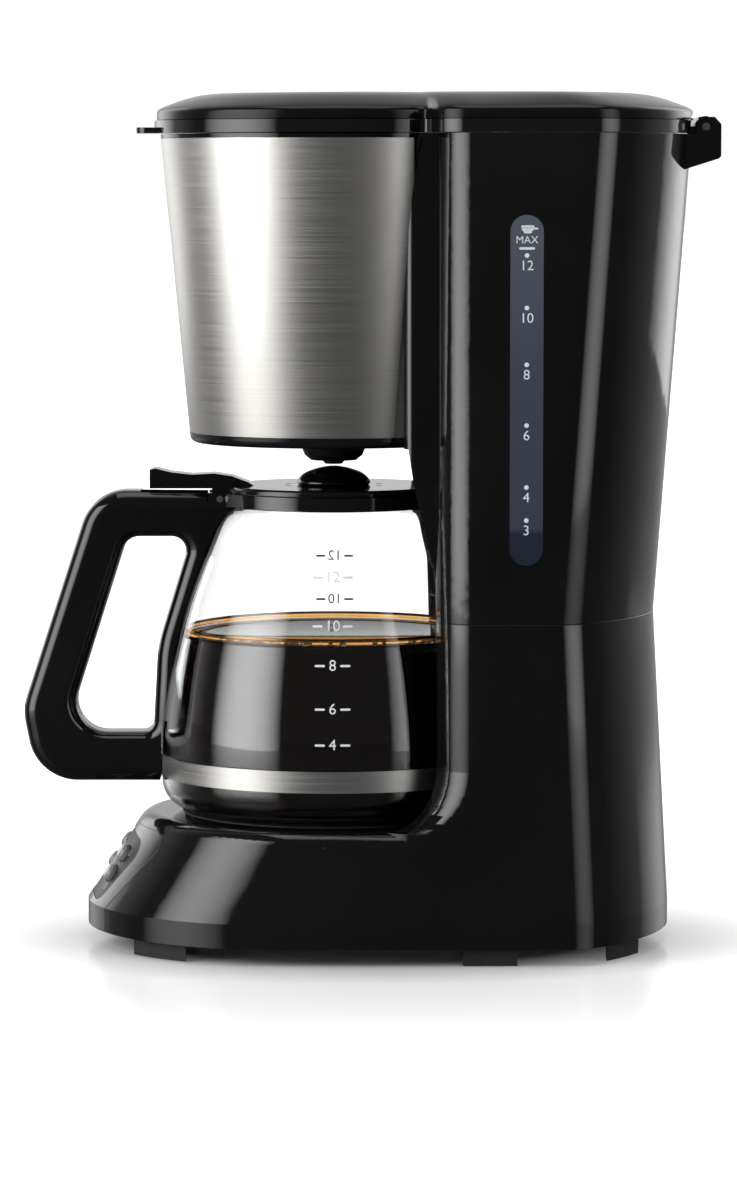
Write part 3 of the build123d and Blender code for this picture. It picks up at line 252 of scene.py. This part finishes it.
def coffee_liquid():
    """Black coffee: opaque and glossy, a little browner where it is seen at a slant."""
    material, tree, shader = new_material("coffee")
    facing = tree.nodes.new("ShaderNodeLayerWeight")
    facing.inputs["Blend"].default_value = 0.25
    dark, browner = (0.0075, 0.0028, 0.0016), (0.030, 0.011, 0.005)
    brown = two_colours(tree, facing.outputs["Facing"], dark, browner, 0.5, 1.0)
    tree.links.new(brown, shader.inputs["Base Color"])
    shader.inputs["IOR"].default_value = 1.33
    tree.links.new(spread(tree, noise(tree, 90.0), 0.02, 0.06), shader.inputs["Roughness"])
    return material


def coffee_rim():
    """The amber edge of the coffee near the glass."""
    material, tree, shader = new_material("coffee_rim")
    tree.links.new(two_colours(tree, noise(tree, 120.0), (0.78, 0.36, 0.09), (0.90, 0.52, 0.20)),
                   shader.inputs["Base Color"])
    shader.inputs["Roughness"].default_value = 0.12
    shader.inputs["IOR"].default_value = 1.2
    shader.inputs["Transmission Weight"].default_value = 1.0
    return material


def bubble_film():
    material, tree, shader = new_material("bubble_film")
    shader.inputs["Base Color"].default_value = (0.93, 0.90, 0.84, 1)
    shader.inputs["Transmission Weight"].default_value = 0.85
    tree.links.new(spread(tree, noise(tree, 400.0), 0.02, 0.10), shader.inputs["Roughness"])
    return material


def printed(name, colour):
    """Screen-printed ink."""
    material, tree, shader = new_material(name)
    worn = tuple(c * 0.9 for c in colour)
    tree.links.new(two_colours(tree, noise(tree, 900.0, 3.0), worn, colour), shader.inputs["Base Color"])
    shader.inputs["Roughness"].default_value = 0.5
    return material


DEEP_BLACK = (0.0035, 0.0035, 0.0038)
SOFT_BLACK = (0.006, 0.006, 0.0065)
SLOTS = {
    "black_gloss": moulded("black_gloss", DEEP_BLACK, SOFT_BLACK, (0.045, 0.085), 46.0, 0.00005),
    "black_matte": moulded("black_matte", (0.006, 0.006, 0.0062), (0.010, 0.010, 0.0105), (0.40, 0.54),
                           2600.0, 0.00004, specular=0.22),
    "dark_lens": moulded("dark_lens", (0.006, 0.008, 0.008), (0.009, 0.012, 0.012), (0.03, 0.06), 60.0,
                         0.00001, 1.0),
    "smoke_button": smoke_dome(),
    "window": window_plastic(),
    "glass": clear_glass(),
    "brushed_steel": brushed_steel(),
    "zinc_steel": metal("zinc_steel", (0.62, 0.62, 0.60), (0.22, 0.34)),
    "aluminium": metal("aluminium", (0.72, 0.72, 0.73), (0.38, 0.55), 400.0),
    "plate_coating": moulded("plate_coating", (0.010, 0.010, 0.010), (0.020, 0.020, 0.019), (0.25, 0.42),
                             1800.0, 0.00005),
    "rubber": moulded("rubber", (0.010, 0.010, 0.010), (0.018, 0.018, 0.018), (0.6, 0.8), 2200.0, 0.00006),
    "silicone": moulded("silicone", (0.62, 0.60, 0.56), (0.72, 0.70, 0.66), (0.35, 0.5), 1400.0, 0.00004),
    "circuit_board": moulded("circuit_board", (0.012, 0.085, 0.035), (0.018, 0.12, 0.05), (0.3, 0.45),
                             1500.0, 0.00003),
    "inner_plastic": moulded("inner_plastic", (0.60, 0.57, 0.50), (0.68, 0.66, 0.60), (0.4, 0.55), 1500.0,
                             0.00004),
}


def dress_frame():
    """Gives every CAD node the finished material of its slot."""
    for part in frame["record"]["subparts"]:
        node = frame["nodes"].get(part["node"])
        if node is None:
            continue
        node.data.materials.clear()
        node.data.materials.append(SLOTS[part["material_slot"]])


# ------------------------------------------------------------------ mesh helpers
def mesh_object(name, points, faces, material, body, smooth=True):
    mesh = bpy.data.meshes.new(name)
    mesh.from_pydata([tuple(p) for p in points], [], faces)
    mesh.update()
    piece = bpy.data.objects.new(name, mesh)
    bpy.context.scene.collection.objects.link(piece)
    piece.data.materials.append(material)
    if smooth:
        for polygon in mesh.polygons:
            polygon.use_smooth = True
    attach(piece, body)
    return piece


def clean_mesh(piece):
    """Joins points that coincide and turns every face outwards."""
    cleaned = bmesh.new()
    cleaned.from_mesh(piece.data)
    bmesh.ops.remove_doubles(cleaned, verts=cleaned.verts, dist=1e-6)
    bmesh.ops.recalc_face_normals(cleaned, faces=cleaned.faces)
    cleaned.to_mesh(piece.data)
    cleaned.free()


def cast(node, start, direction):
    """Where a ray first meets a CAD node, or None."""
    hit, place, *_ = frame["nodes"][node].ray_cast(Vector(start), Vector(direction))
    return place if hit else None


def ring_faces(rings, count, steps):
    """Quads that join equal profiles in a ring: count points in each, steps of its edges used."""
    faces = []
    for k in range(rings):
        here, there = k * count, (k + 1) % rings * count
        for i in range(steps):
            j = (i + 1) % count
            faces.append((here + i, there + i, there + j, here + j))
    return faces


def lathe(name, profile, centre_y, segments, material, body, close_loop=True):
    """Turns a list of (radius, height) about the upright axis at centre_y."""
    points = []
    count = len(profile)
    for k in range(segments):
        turn = 2 * pi * k / segments
        for radius, height in profile:
            points.append((radius * cos(turn), centre_y + radius * sin(turn), height))
    faces = ring_faces(segments, count, count if close_loop else count - 1)
    piece = mesh_object(name, points, faces, material, body)
    clean_mesh(piece)
    return piece


GLASS_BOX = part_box("carafe_glass")
AXIS_Y = (GLASS_BOX[0][1] + GLASS_BOX[1][1]) / 2
GLASS_LOW, GLASS_TOP = GLASS_BOX[0][2], GLASS_BOX[1][2]


def wall_radius(height, inside):
    """Radius of the jug's inner or outer wall at a height, read from its CAD solid."""
    if inside:
        return cast("carafe_glass", (0, AXIS_Y, height), (1, 0, 0)).x
    return cast("carafe_glass", (0.2, AXIS_Y, height), (-1, 0, 0)).x


def smoothed(values, passes):
    for _ in range(passes):
        middle = [(a + 2 * b + c) / 4 for a, b, c in zip(values, values[1:], values[2:])]
        values = [values[0], *middle, values[-1]]
    return values


def make_jug():
    """The glass jug, turned finely from the CAD profile, with a rounded lip and a rounded foot."""
    wall = 2.2 * MM
    foot = 12.0 * MM
    rows = 90
    low = GLASS_LOW + foot
    heights = [low + (GLASS_TOP - low - 0.6 * MM) * i / rows for i in range(rows + 1)]
    outer = smoothed([wall_radius(z, False) for z in heights], 3)
    belly = outer[0]
    profile = [(0.0, GLASS_LOW), (belly - foot - 2 * MM, GLASS_LOW)]
    for step in range(1, 13):
        turn = radians(90 * step / 12)
        profile.append((belly - foot + foot * sin(turn), GLASS_LOW + foot - foot * cos(turn)))
    profile += list(zip(outer[1:], heights[1:]))
    top = outer[-1] - wall / 2
    for step in range(1, 8):
        turn = pi * step / 8
        profile.append((top + wall / 2 * cos(turn), heights[-1] + wall / 2 * sin(turn)))
    inner = [(radius - wall, z) for radius, z in zip(outer, heights)]
    profile += inner[::-1]
    inside_foot = foot - wall
    for step in range(1, 12):
        turn = radians(90 * (1 - step / 12))
        profile.append((belly - foot + inside_foot * sin(turn), GLASS_LOW + foot - inside_foot * cos(turn)))
    profile += [(belly - foot - 2 * MM, GLASS_LOW + wall), (0.0, GLASS_LOW + wall)]
    jug = lathe("glass_jug", profile, AXIS_Y, 160, SLOTS["glass"], "carafe", close_loop=False)
    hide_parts("carafe_glass")
    return inner, belly, foot, wall


COFFEE_LEVEL = 0.1284


def make_coffee(inner, belly, foot, wall):
    """The coffee that fills the jug to its level, a hair inside the glass, with its edge and bubbles."""
    gap = 0.12 * MM
    low = GLASS_LOW + wall + gap
    inside_foot = foot - wall - gap
    profile = [(0.0, low), (belly - foot, low)]
    for step in range(1, 12):
        turn = radians(90 * step / 12)
        profile.append((belly - foot + inside_foot * sin(turn), GLASS_LOW + foot - inside_foot * cos(turn)))
    body = [(radius - gap, z) for radius, z in inner if z < COFFEE_LEVEL - 1 * MM]
    profile += body
    edge = body[-1][0] - 0.35 * MM
    profile += [
        (edge + 0.3 * MM, COFFEE_LEVEL + 0.3 * MM),
        (edge - 1.5 * MM, COFFEE_LEVEL - 0.1 * MM),
        (0.0, COFFEE_LEVEL),
    ]
    lathe("coffee", profile, AXIS_Y, 128, coffee_liquid(), "carafe", close_loop=False)
    rim = [
        (edge + 0.25 * MM, COFFEE_LEVEL + 0.4 * MM),
        (edge - 0.55 * MM, COFFEE_LEVEL + 3.0 * MM),
        (edge - 0.75 * MM, COFFEE_LEVEL + 1.0 * MM),
    ]
    lathe("coffee_edge", rim, AXIS_Y, 128, coffee_rim(), "carafe")
    add_bubbles(edge)


BUBBLES = 260


def draws(count):
    """A fixed row of pseudo-random numbers from 0 to 1."""
    seed, limit = 7, 2147483648
    numbers = []
    for _ in range(count):
        seed = (seed * 1103515245 + 12345) % limit
        numbers.append(seed / limit)
    return numbers


def add_bubbles(edge):
    """Small bubbles along the coffee's edge, on the side of the sight window."""
    film = bubble_film()
    grown = bmesh.new()
    row = draws(2 * BUBBLES)
    for first, second in zip(row[::2], row[1::2]):
        turn = radians(-95 + 190 * first)
        size = (0.45 + 1.15 * second**2) * MM
        reach = edge - size - (0.8 + 1.6 * (1 - second)) * MM
        height = COFFEE_LEVEL + size * 0.35
        place = Matrix.Translation((reach * cos(turn), AXIS_Y + reach * sin(turn), height))
        bmesh.ops.create_uvsphere(grown, u_segments=12, v_segments=8, radius=size, matrix=place)
    mesh = bpy.data.meshes.new("coffee_bubbles")
    grown.to_mesh(mesh)
    grown.free()
    for polygon in mesh.polygons:
        polygon.use_smooth = True
    piece = bpy.data.objects.new("coffee_bubbles", mesh)
    bpy.context.scene.collection.objects.link(piece)
    mesh.materials.append(film)
    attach(piece, "carafe")


# ------------------------------------------------------------------ printed marks
def text_points(text, size):
    """A flat mesh of a short text, centred, in its own XY plane."""
    curve = bpy.data.curves.new("lettering", "FONT")
    curve.body = text
    curve.size = size
    curve.align_x = "CENTER"
    curve.align_y = "CENTER"
    curve.resolution_u = 6
    holder = bpy.data.objects.new("lettering", curve)
    bpy.context.scene.collection.objects.link(holder)
    bpy.context.view_layer.update()
    mesh = bpy.data.meshes.new_from_object(holder.evaluated_get(bpy.context.evaluated_depsgraph_get()))
    points = [vertex.co.copy() for vertex in mesh.vertices]
    faces = [tuple(polygon.vertices) for polygon in mesh.polygons]
    bpy.data.objects.remove(holder)
    bpy.data.curves.remove(curve)
    bpy.data.meshes.remove(mesh)
    return points, faces


def bar_points(width, height, centre):
    """A rounded dash."""
    points = [Vector((centre[0], centre[1], 0))]
    steps = 6
    for side in (1, -1):
        for k in range(steps + 1):
            turn = radians(-90 + 180 * k / steps) if side > 0 else radians(90 + 180 * k / steps)
            shift = side * (width - height) / 2
            x = centre[0] + shift + height / 2 * cos(turn)
            points.append(Vector((x, centre[1] + height / 2 * sin(turn), 0)))
    count = len(points) - 1
    faces = [(0, 1 + k, 1 + (k + 1) % count) for k in range(count)]
    return points, faces


def collect(groups):
    """Joins several flat meshes into one list of points and faces."""
    points, faces = [], []
    for group_points, group_faces in groups:
        start = len(points)
        points += group_points
        faces += [tuple(index + start for index in face) for face in group_faces]
    return points, faces


JUG_MARKS = [("4", 0.0890), ("6", 0.1035), ("8", 0.1210), ("10", 0.1368), ("12", 0.1562)]


def make_jug_scale(name, side):
    """Cup marks printed on the jug, read from the given side."""
    groups = []
    for text, height in JUG_MARKS:
        offset = 5.2 * MM if len(text) == 1 else 6.2 * MM
        for points, faces in (
            text_points(text, 6.2 * MM),
            bar_points(4.2 * MM, 0.9 * MM, (-offset, 0)),
            bar_points(4.2 * MM, 0.9 * MM, (offset, 0)),
        ):
            groups.append(([Vector((p.x, p.y + height, 0)) for p in points], faces))
    points, faces = collect(groups)
    wrapped = []
    for p in points:
        radius = wall_radius(p.y, False) + INK_LIFT
        turn = p.x / radius
        wrapped.append((side * radius * cos(turn), AXIS_Y + side * radius * sin(turn), p.y))
    ink = printed("white_ink", (0.85, 0.85, 0.85))
    mesh_object(name, wrapped, faces, ink, "carafe", smooth=False)


WINDOW_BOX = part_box("sight_window")
WINDOW_Y = (WINDOW_BOX[0][1] + WINDOW_BOX[1][1]) / 2
WINDOW_MARKS = [("12", 0.2835), ("10", 0.2625), ("8", 0.2398), ("6", 0.2154), ("4", 0.1905), ("3", 0.1772)]
MAX_BAR_HEIGHT = 0.2905
MAX_WORD_HEIGHT = 0.2938
CUP_HEIGHT = 0.2975


def make_window_scale():
    """Level marks on the sight window: a dot above each number, a bar at the highest level and a cup."""
    groups = []

    def place(points_faces, height):
        points, faces = points_faces
        groups.append(([Vector((p.x, p.y + height, 0)) for p in points], faces))

    for text, height in WINDOW_MARKS:
        place(text_points(text, 5.6 * MM), height)
        place(bar_points(1.9 * MM, 1.85 * MM, (0, 0)), height + 4.2 * MM)
    place(bar_points(6.4 * MM, 1.0 * MM, (0, 0)), MAX_BAR_HEIGHT)
    place(text_points("MAX", 4.2 * MM), MAX_WORD_HEIGHT)
    # a little cup: three strokes for the bowl and one for the handle
    place(bar_points(5.4 * MM, 1.2 * MM, (0.3 * MM, 1.6 * MM)), CUP_HEIGHT)
    place(bar_points(4.8 * MM, 1.6 * MM, (0.3 * MM, 0.7 * MM)), CUP_HEIGHT)
    place(bar_points(3.4 * MM, 1.2 * MM, (0.3 * MM, -0.4 * MM)), CUP_HEIGHT)
    place(bar_points(1.8 * MM, 0.7 * MM, (3.6 * MM, 0.9 * MM)), CUP_HEIGHT)
    points, faces = collect(groups)
    low_x, top_x = window_face_x()
    rise = (top_x - low_x) / (WINDOW_BOX[1][2] - WINDOW_BOX[0][2])
    laid = []
    for p in points:
        x = low_x + rise * (p.y - WINDOW_BOX[0][2]) + INK_LIFT
        laid.append((x, WINDOW_Y + p.x, p.y))
    ink = printed("window_ink", (0.75, 0.77, 0.80))
    mesh_object("window_scale", laid, faces, ink, "machine", smooth=False)


def window_face_x():
    """How far out the window's face stands near its foot and near its head."""
    inset = 8 * MM
    heights = (WINDOW_BOX[0][2] + inset, WINDOW_BOX[1][2] - inset)
    return [cast("sight_window", (OUTSIDE, WINDOW_Y, z), (-1, 0, 0)).x for z in heights]


# ------------------------------------------------------------------ the lid's cover and the valve's spring
LID_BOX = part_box("lid_cover")
LID_TOP = LID_BOX[1][2]
LID_LOW = LID_BOX[0][2]
# the cover's section: mm in from its outline, share of the way to the middle, mm under the top
LID_SECTION = [
    (0.0, 0, 11.5), (0.0, 0, 8.4), (0.3, 0, 7.6), (1.2, 0, 6.9), (3.0, 0, 6.0), (7.0, 0, 4.5),
    (11.0, 0, 3.1), (15.0, 0, 2.0), (19.0, 0, 1.2), (24.0, 0, 0.7), (24.0, 0.25, 0.35),
    (24.0, 0.5, 0.15), (24.0, 0.75, 0.04), (24.0, 1, 0.0), (24.0, 1, 1.8), (24.0, 0.5, 2.0),
    (24.0, 0, 2.5), (15.0, 0, 3.8), (7.0, 0, 6.3), (2.2, 0, 8.6), (1.8, 0, 11.5),
]


def lid_points(steps):
    """The section of the cover, set all round the outline of its CAD node."""
    middle = Vector((0, 20 * MM, LID_TOP - 8.1 * MM))
    points = []
    for k in range(steps):
        turn = 2 * pi * k / steps
        outward = Vector((cos(turn), sin(turn), 0))
        reach = (cast("lid_cover", middle + outward * OUTSIDE, -outward) - middle).length
        for inset, share, drop in LID_SECTION:
            radius = (reach - inset * MM) * (1 - share)
            points.append((outward.x * radius, middle.y + outward.y * radius, LID_TOP - drop * MM))
    return points


def clear_of_hinge(points):
    """The points with those that are too close to the hinge pin pushed out to a clear distance."""
    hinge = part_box("hinge_pin")
    axis_y, axis_z = (hinge[0][1] + hinge[1][1]) / 2, (hinge[0][2] + hinge[1][2]) / 2
    clear, half = 6.6 * MM, hinge[1][0] + 1 * MM
    moved = []
    for x, y, z in points:
        away = Vector((y - axis_y, z - axis_z))
        if abs(x) < half and away.length < clear:
            away = away.normalized() * clear
            y, z = axis_y + away.x, max(axis_z + away.y, LID_LOW)
        moved.append((x, y, z))
    return moved


def make_lid_cover():
    """The cover's shell, with faces that rise gently from its rim to a shallow crown over both lobes."""
    steps, count = 288, len(LID_SECTION)
    satin = moulded("lid_satin", DEEP_BLACK, SOFT_BLACK, (0.12, 0.19), 46.0, 0.00004, specular=0.2)
    points = clear_of_hinge(lid_points(steps))
    piece = mesh_object("lid_crown", points, ring_faces(steps, count, count), satin, "lid")
    clean_mesh(piece)
    piece.data.set_sharp_from_angle(angle=radians(50))
    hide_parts("lid_cover")


def make_valve_spring():
    """The drip valve's spring, a coil of wire that stays fixed on the basket."""
    low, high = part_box("valve_spring")
    wire = 0.45 * MM
    radius = (high[0] - low[0]) / 2 - wire
    turns, per_turn = 5, 24
    height = high[2] - low[2] - 2 * wire
    points = []
    for step in range(turns * per_turn + 1):
        turn = 2 * pi * step / per_turn
        rise = height * step / (turns * per_turn)
        points.append(Vector((radius * cos(turn), AXIS_Y + radius * sin(turn), low[2] + wire + rise)))
    piece = bead("valve_coil", points, wire, "basket", "zinc_steel")
    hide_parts("valve_spring")
    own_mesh(piece)


# ------------------------------------------------------------------ seams and the control nose
def bead(name, points, radius, body, slot="black_gloss"):
    """A thin round strand along a line, such as a seam's rounded edge or a spring's wire."""
    sides = 8
    ring_points, faces = [], []
    for i, point in enumerate(points):
        ahead = points[min(i + 1, len(points) - 1)] - points[max(i - 1, 0)]
        turned = ahead.to_track_quat("Z", "Y")
        for k in range(sides):
            turn = 2 * pi * k / sides
            ring_points.append(point + turned @ Vector((radius * cos(turn), radius * sin(turn), 0)))
    for i in range(len(points) - 1):
        for k in range(sides):
            here, beside = i * sides + k, i * sides + (k + 1) % sides
            faces.append((here, beside, beside + sides, here + sides))
    faces.append(tuple(range(sides))[::-1])
    faces.append(tuple(range((len(points) - 1) * sides, len(points) * sides)))
    return mesh_object(name, ring_points, faces, SLOTS[slot], body)


def make_shell_seam():
    """The seam between the base and the tank, around the sides and the back of the column."""
    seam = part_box("base_housing")[1][2] - 0.1 * MM
    middle = 75 * MM
    points = []
    for step in range(161):
        turn = radians(-38 + (180 + 2 * 38) * step / 160)
        outward = Vector((cos(turn), sin(turn), 0))
        place = cast("base_housing", Vector((0, middle, seam)) + outward * OUTSIDE, -outward)
        if place:
            points.append(place - outward * 0.12 * MM)
    bead("shell_seam", points, SEAM_RADIUS, "machine")


def make_fascia_seams():
    """The seams down both sides of the control fascia."""
    # mm out from the middle, mm up
    corners = [(42, 49.0), (46.2, 43.0), (37, 17.2), (37, 7.4)]
    for side, word in ((1, "right"), (-1, "left")):
        points = []
        for (x0, z0), (x1, z1) in zip(corners, corners[1:]):
            for step in range(12):
                t = step / 12
                x = side * (x0 + (x1 - x0) * t + 0.35) * MM
                z = (z0 + (z1 - z0) * t) * MM
                place = cast("base_housing", (x, -OUTSIDE, z), (0, 1, 0))
                if place and place.y < -60 * MM:
                    points.append(place + Vector((0, 0.08 * MM, 0)))
        bead(f"fascia_seam_{word}", points, SEAM_RADIUS, "machine")


PANEL_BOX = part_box("control_panel")
PANEL_LEAN = radians(56.5)  # slope of the nose, from level
PANEL_OUT = Vector((0, -sin(PANEL_LEAN), cos(PANEL_LEAN)))
PANEL_UP = Vector((0, cos(PANEL_LEAN), sin(PANEL_LEAN)))
PANEL_MIDDLE = Vector((0, (PANEL_BOX[0][1] + PANEL_BOX[1][1]) / 2, (PANEL_BOX[0][2] + PANEL_BOX[1][2]) / 2))


def print_on(name, node, groups, ink):
    """Lays flat marks, drawn across and up the nose, on a node of the control panel."""
    points, faces = collect(groups)
    laid = []
    for p in points:
        above = PANEL_MIDDLE + Vector((p.x, 0, 0)) + PANEL_UP * p.y + PANEL_OUT * 0.05
        place = cast(node, above, -PANEL_OUT)
        laid.append((place if place else above - PANEL_OUT * 0.05) + PANEL_OUT * 0.1 * MM)
    mesh_object(name, laid, faces, ink, "machine", smooth=False)


def arc_points(radius, width, low, high, centre):
    """A curved stroke between two angles in degrees."""
    points, faces = [], []
    steps = 20
    for k in range(steps + 1):
        turn = radians(low + (high - low) * k / steps)
        for reach in (radius, radius + width):
            points.append(Vector((centre[0] + reach * cos(turn), centre[1] + reach * sin(turn), 0)))
    for k in range(steps):
        faces.append((2 * k, 2 * k + 1, 2 * k + 3, 2 * k + 2))
    return points, faces


def make_panel_marks():
    """An open ring with a stroke and a closed ring with a dash on each side, and the time on the display."""
    stroke = 0.35 * MM
    groups = []
    for side in (1, -1):
        top = (side * 26.0 * MM, 8.2 * MM)
        low = (side * 23.0 * MM, -9.6 * MM)
        groups.append(arc_points(1.15 * MM, stroke, 120, 420, top))
        groups.append(bar_points(stroke * 1.01, stroke, (top[0], top[1] + 1.3 * MM)))
        groups.append(arc_points(1.15 * MM, stroke, 0, 360, low))
        groups.append(bar_points(1.0 * MM, stroke, (low[0] + 0.4 * MM, low[1])))
    print_on("panel_marks", "control_panel", groups, printed("panel_ink", (0.42, 0.42, 0.42)))
    time = text_points("12:00", 6.4 * MM)
    print_on("display_time", "lcd_lens", [time], printed("display_ink", (0.30, 0.42, 0.40)))


# ------------------------------------------------------------------ stage and light
def seen_directly(tree):
    """1 for rays that come from the eye, also through glass, and 0 for reflections and bounced light."""
    path = tree.nodes.new("ShaderNodeLightPath")
    bounces = add_node(tree, "ShaderNodeMath", operation="ADD")
    tree.links.new(path.outputs["Glossy Depth"], bounces.inputs[0])
    tree.links.new(path.outputs["Diffuse Depth"], bounces.inputs[1])
    unbounced = add_node(tree, "ShaderNodeMath", operation="LESS_THAN")
    unbounced.inputs[1].default_value = 0.5
    tree.links.new(bounces.outputs["Value"], unbounced.inputs[0])
    either = add_node(tree, "ShaderNodeMath", operation="MAXIMUM")
    tree.links.new(path.outputs["Is Camera Ray"], either.inputs[0])
    tree.links.new(path.outputs["Is Transmission Ray"], either.inputs[1])
    both = add_node(tree, "ShaderNodeMath", operation="MULTIPLY")
    tree.links.new(either.outputs["Value"], both.inputs[0])
    tree.links.new(unbounced.outputs["Value"], both.inputs[1])
    return both.outputs["Value"]


def make_floor():
    size = 30.0
    mesh = bpy.data.meshes.new("floor")
    corners = [(-size, -size, 0), (size, -size, 0), (size, size, 0), (-size, size, 0)]
    mesh.from_pydata(corners, [], [(0, 1, 2, 3)])
    floor = bpy.data.objects.new("floor", mesh)
    floor.location.z = -0.0002
    bpy.context.scene.collection.objects.link(floor)
    material, tree, shader = new_material("floor")
    # white to the eye, darker in what the black plastic reflects
    path = tree.nodes.new("ShaderNodeLightPath")
    mirrored = path.outputs["Is Glossy Ray"]
    tree.links.new(two_colours(tree, mirrored, (0.84, 0.84, 0.84), (0.07, 0.07, 0.07), 0.0, 1.0),
                   shader.inputs["Base Color"])
    shader.inputs["Roughness"].default_value = 0.15
    shader.inputs["Specular IOR Level"].default_value = 0.16
    shader.inputs["Emission Color"].default_value = (1, 1, 1, 1)
    length = add_node(tree, "ShaderNodeVectorMath", operation="LENGTH")
    tree.links.new(object_coords(tree, (1.35, 1, 1)), length.inputs[0])
    # painted light: the floor glows, not at all under the middle of the object, FLOOR_GLOW close around it
    # and full white further off, so it is darker around the object than elsewhere
    grey = (FLOOR_GLOW,) * 3
    stops = [(0.10, (0, 0, 0)), (0.17, grey), (0.22, grey), (0.75, (1, 1, 1))]
    painted_glow = colour_ramp(tree, length.outputs["Value"], stops)
    seen = add_node(tree, "ShaderNodeMath", operation="MULTIPLY")
    tree.links.new(painted_glow, seen.inputs[0])
    tree.links.new(seen_directly(tree), seen.inputs[1])
    tree.links.new(seen.outputs["Value"], shader.inputs["Emission Strength"])
    mesh.materials.append(material)


def make_world():
    """White to the eye; in reflections white behind the object and dim on the camera's side."""
    world = bpy.data.worlds.new("studio")
    bpy.context.scene.world = world
    world.use_nodes = True
    tree = world.node_tree
    background = tree.nodes["Background"]
    split = tree.nodes.new("ShaderNodeSeparateXYZ")
    coords = tree.nodes.new("ShaderNodeTexCoord")
    tree.links.new(coords.outputs["Generated"], split.inputs["Vector"])
    reflected = spread(tree, split.outputs["X"], BACKDROP, WORLD_DIM, -0.75, -0.15)
    strongest = add_node(tree, "ShaderNodeMath", operation="MAXIMUM")
    tree.links.new(reflected, strongest.inputs[0])
    tree.links.new(spread(tree, seen_directly(tree), 0.0, 1.05, 0.0, 1.0), strongest.inputs[1])
    tree.links.new(strongest.outputs["Value"], background.inputs["Strength"])
    background.inputs["Color"].default_value = (1, 1, 1, 1)


def softbox(name, azimuth, distance, low, high, width, radiance):
    """An upright light that faces the object, brightest in its middle and fading to its sides.

    The azimuth turns from +X, where the camera stands, towards -Y.
    """
    height = high - low
    data = bpy.data.lights.new(name, "AREA")
    data.shape = "RECTANGLE"
    data.size = width
    data.size_y = height
    data.energy = radiance * pi * width * height
    turn = radians(azimuth)
    place = Vector((distance * cos(turn), -distance * sin(turn), (low + high) / 2))
    light = bpy.data.objects.new(name, data)
    light.location = place
    light.rotation_euler = (Vector((0, 0, place.z)) - place).to_track_quat("-Z", "Y").to_euler()
    bpy.context.scene.collection.objects.link(light)
    data.use_nodes = True
    tree = data.node_tree
    emission = tree.nodes["Emission"]
    place_on = tree.nodes.new("ShaderNodeNewGeometry")
    split = tree.nodes.new("ShaderNodeSeparateXYZ")
    tree.links.new(place_on.outputs["Parametric"], split.inputs["Vector"])
    # u (1 - u) is 0.25 in the middle and 0 at both sides
    rest = add_node(tree, "ShaderNodeMath", operation="SUBTRACT")
    rest.inputs[0].default_value = 1.0
    tree.links.new(split.outputs["X"], rest.inputs[1])
    arch = add_node(tree, "ShaderNodeMath", operation="MULTIPLY")
    tree.links.new(split.outputs["X"], arch.inputs[0])
    tree.links.new(rest.outputs["Value"], arch.inputs[1])
    tree.links.new(spread(tree, arch.outputs["Value"], 0.0, 1.3, 0.0, 0.25), emission.inputs["Strength"])
    return light


def make_lights():
    softbox("front_box", 62, 1.5, 0.0, 1.5, 1.5, 4.2)
    softbox("rear_box", -58, 1.5, 0.0, 1.4, 1.1, 2.2)
    softbox("far_front_box", 140, 1.7, 0.1, 1.5, 1.2, 1.3)
    softbox("far_rear_box", -140, 1.7, 0.1, 1.5, 1.2, 1.3)
    top = softbox("top_box", 0, 0.01, 1.5, 2.7, 1.6, 1.6)
    top.location = (0, 0, 1.8)
    top.rotation_euler = (0, 0, 0)


dress_frame()
make_jug_scale("jug_scale_right", 1)
make_jug_scale("jug_scale_left", -1)
inner_wall, belly_radius, foot_radius, glass_wall = make_jug()
make_coffee(inner_wall, belly_radius, foot_radius, glass_wall)
make_window_scale()
make_lid_cover()
make_valve_spring()
make_shell_seam()
make_fascia_seams()
make_panel_marks()
make_camera()
make_floor()
make_world()
make_lights()
bpy.context.scene.view_settings.view_transform = "Standard"
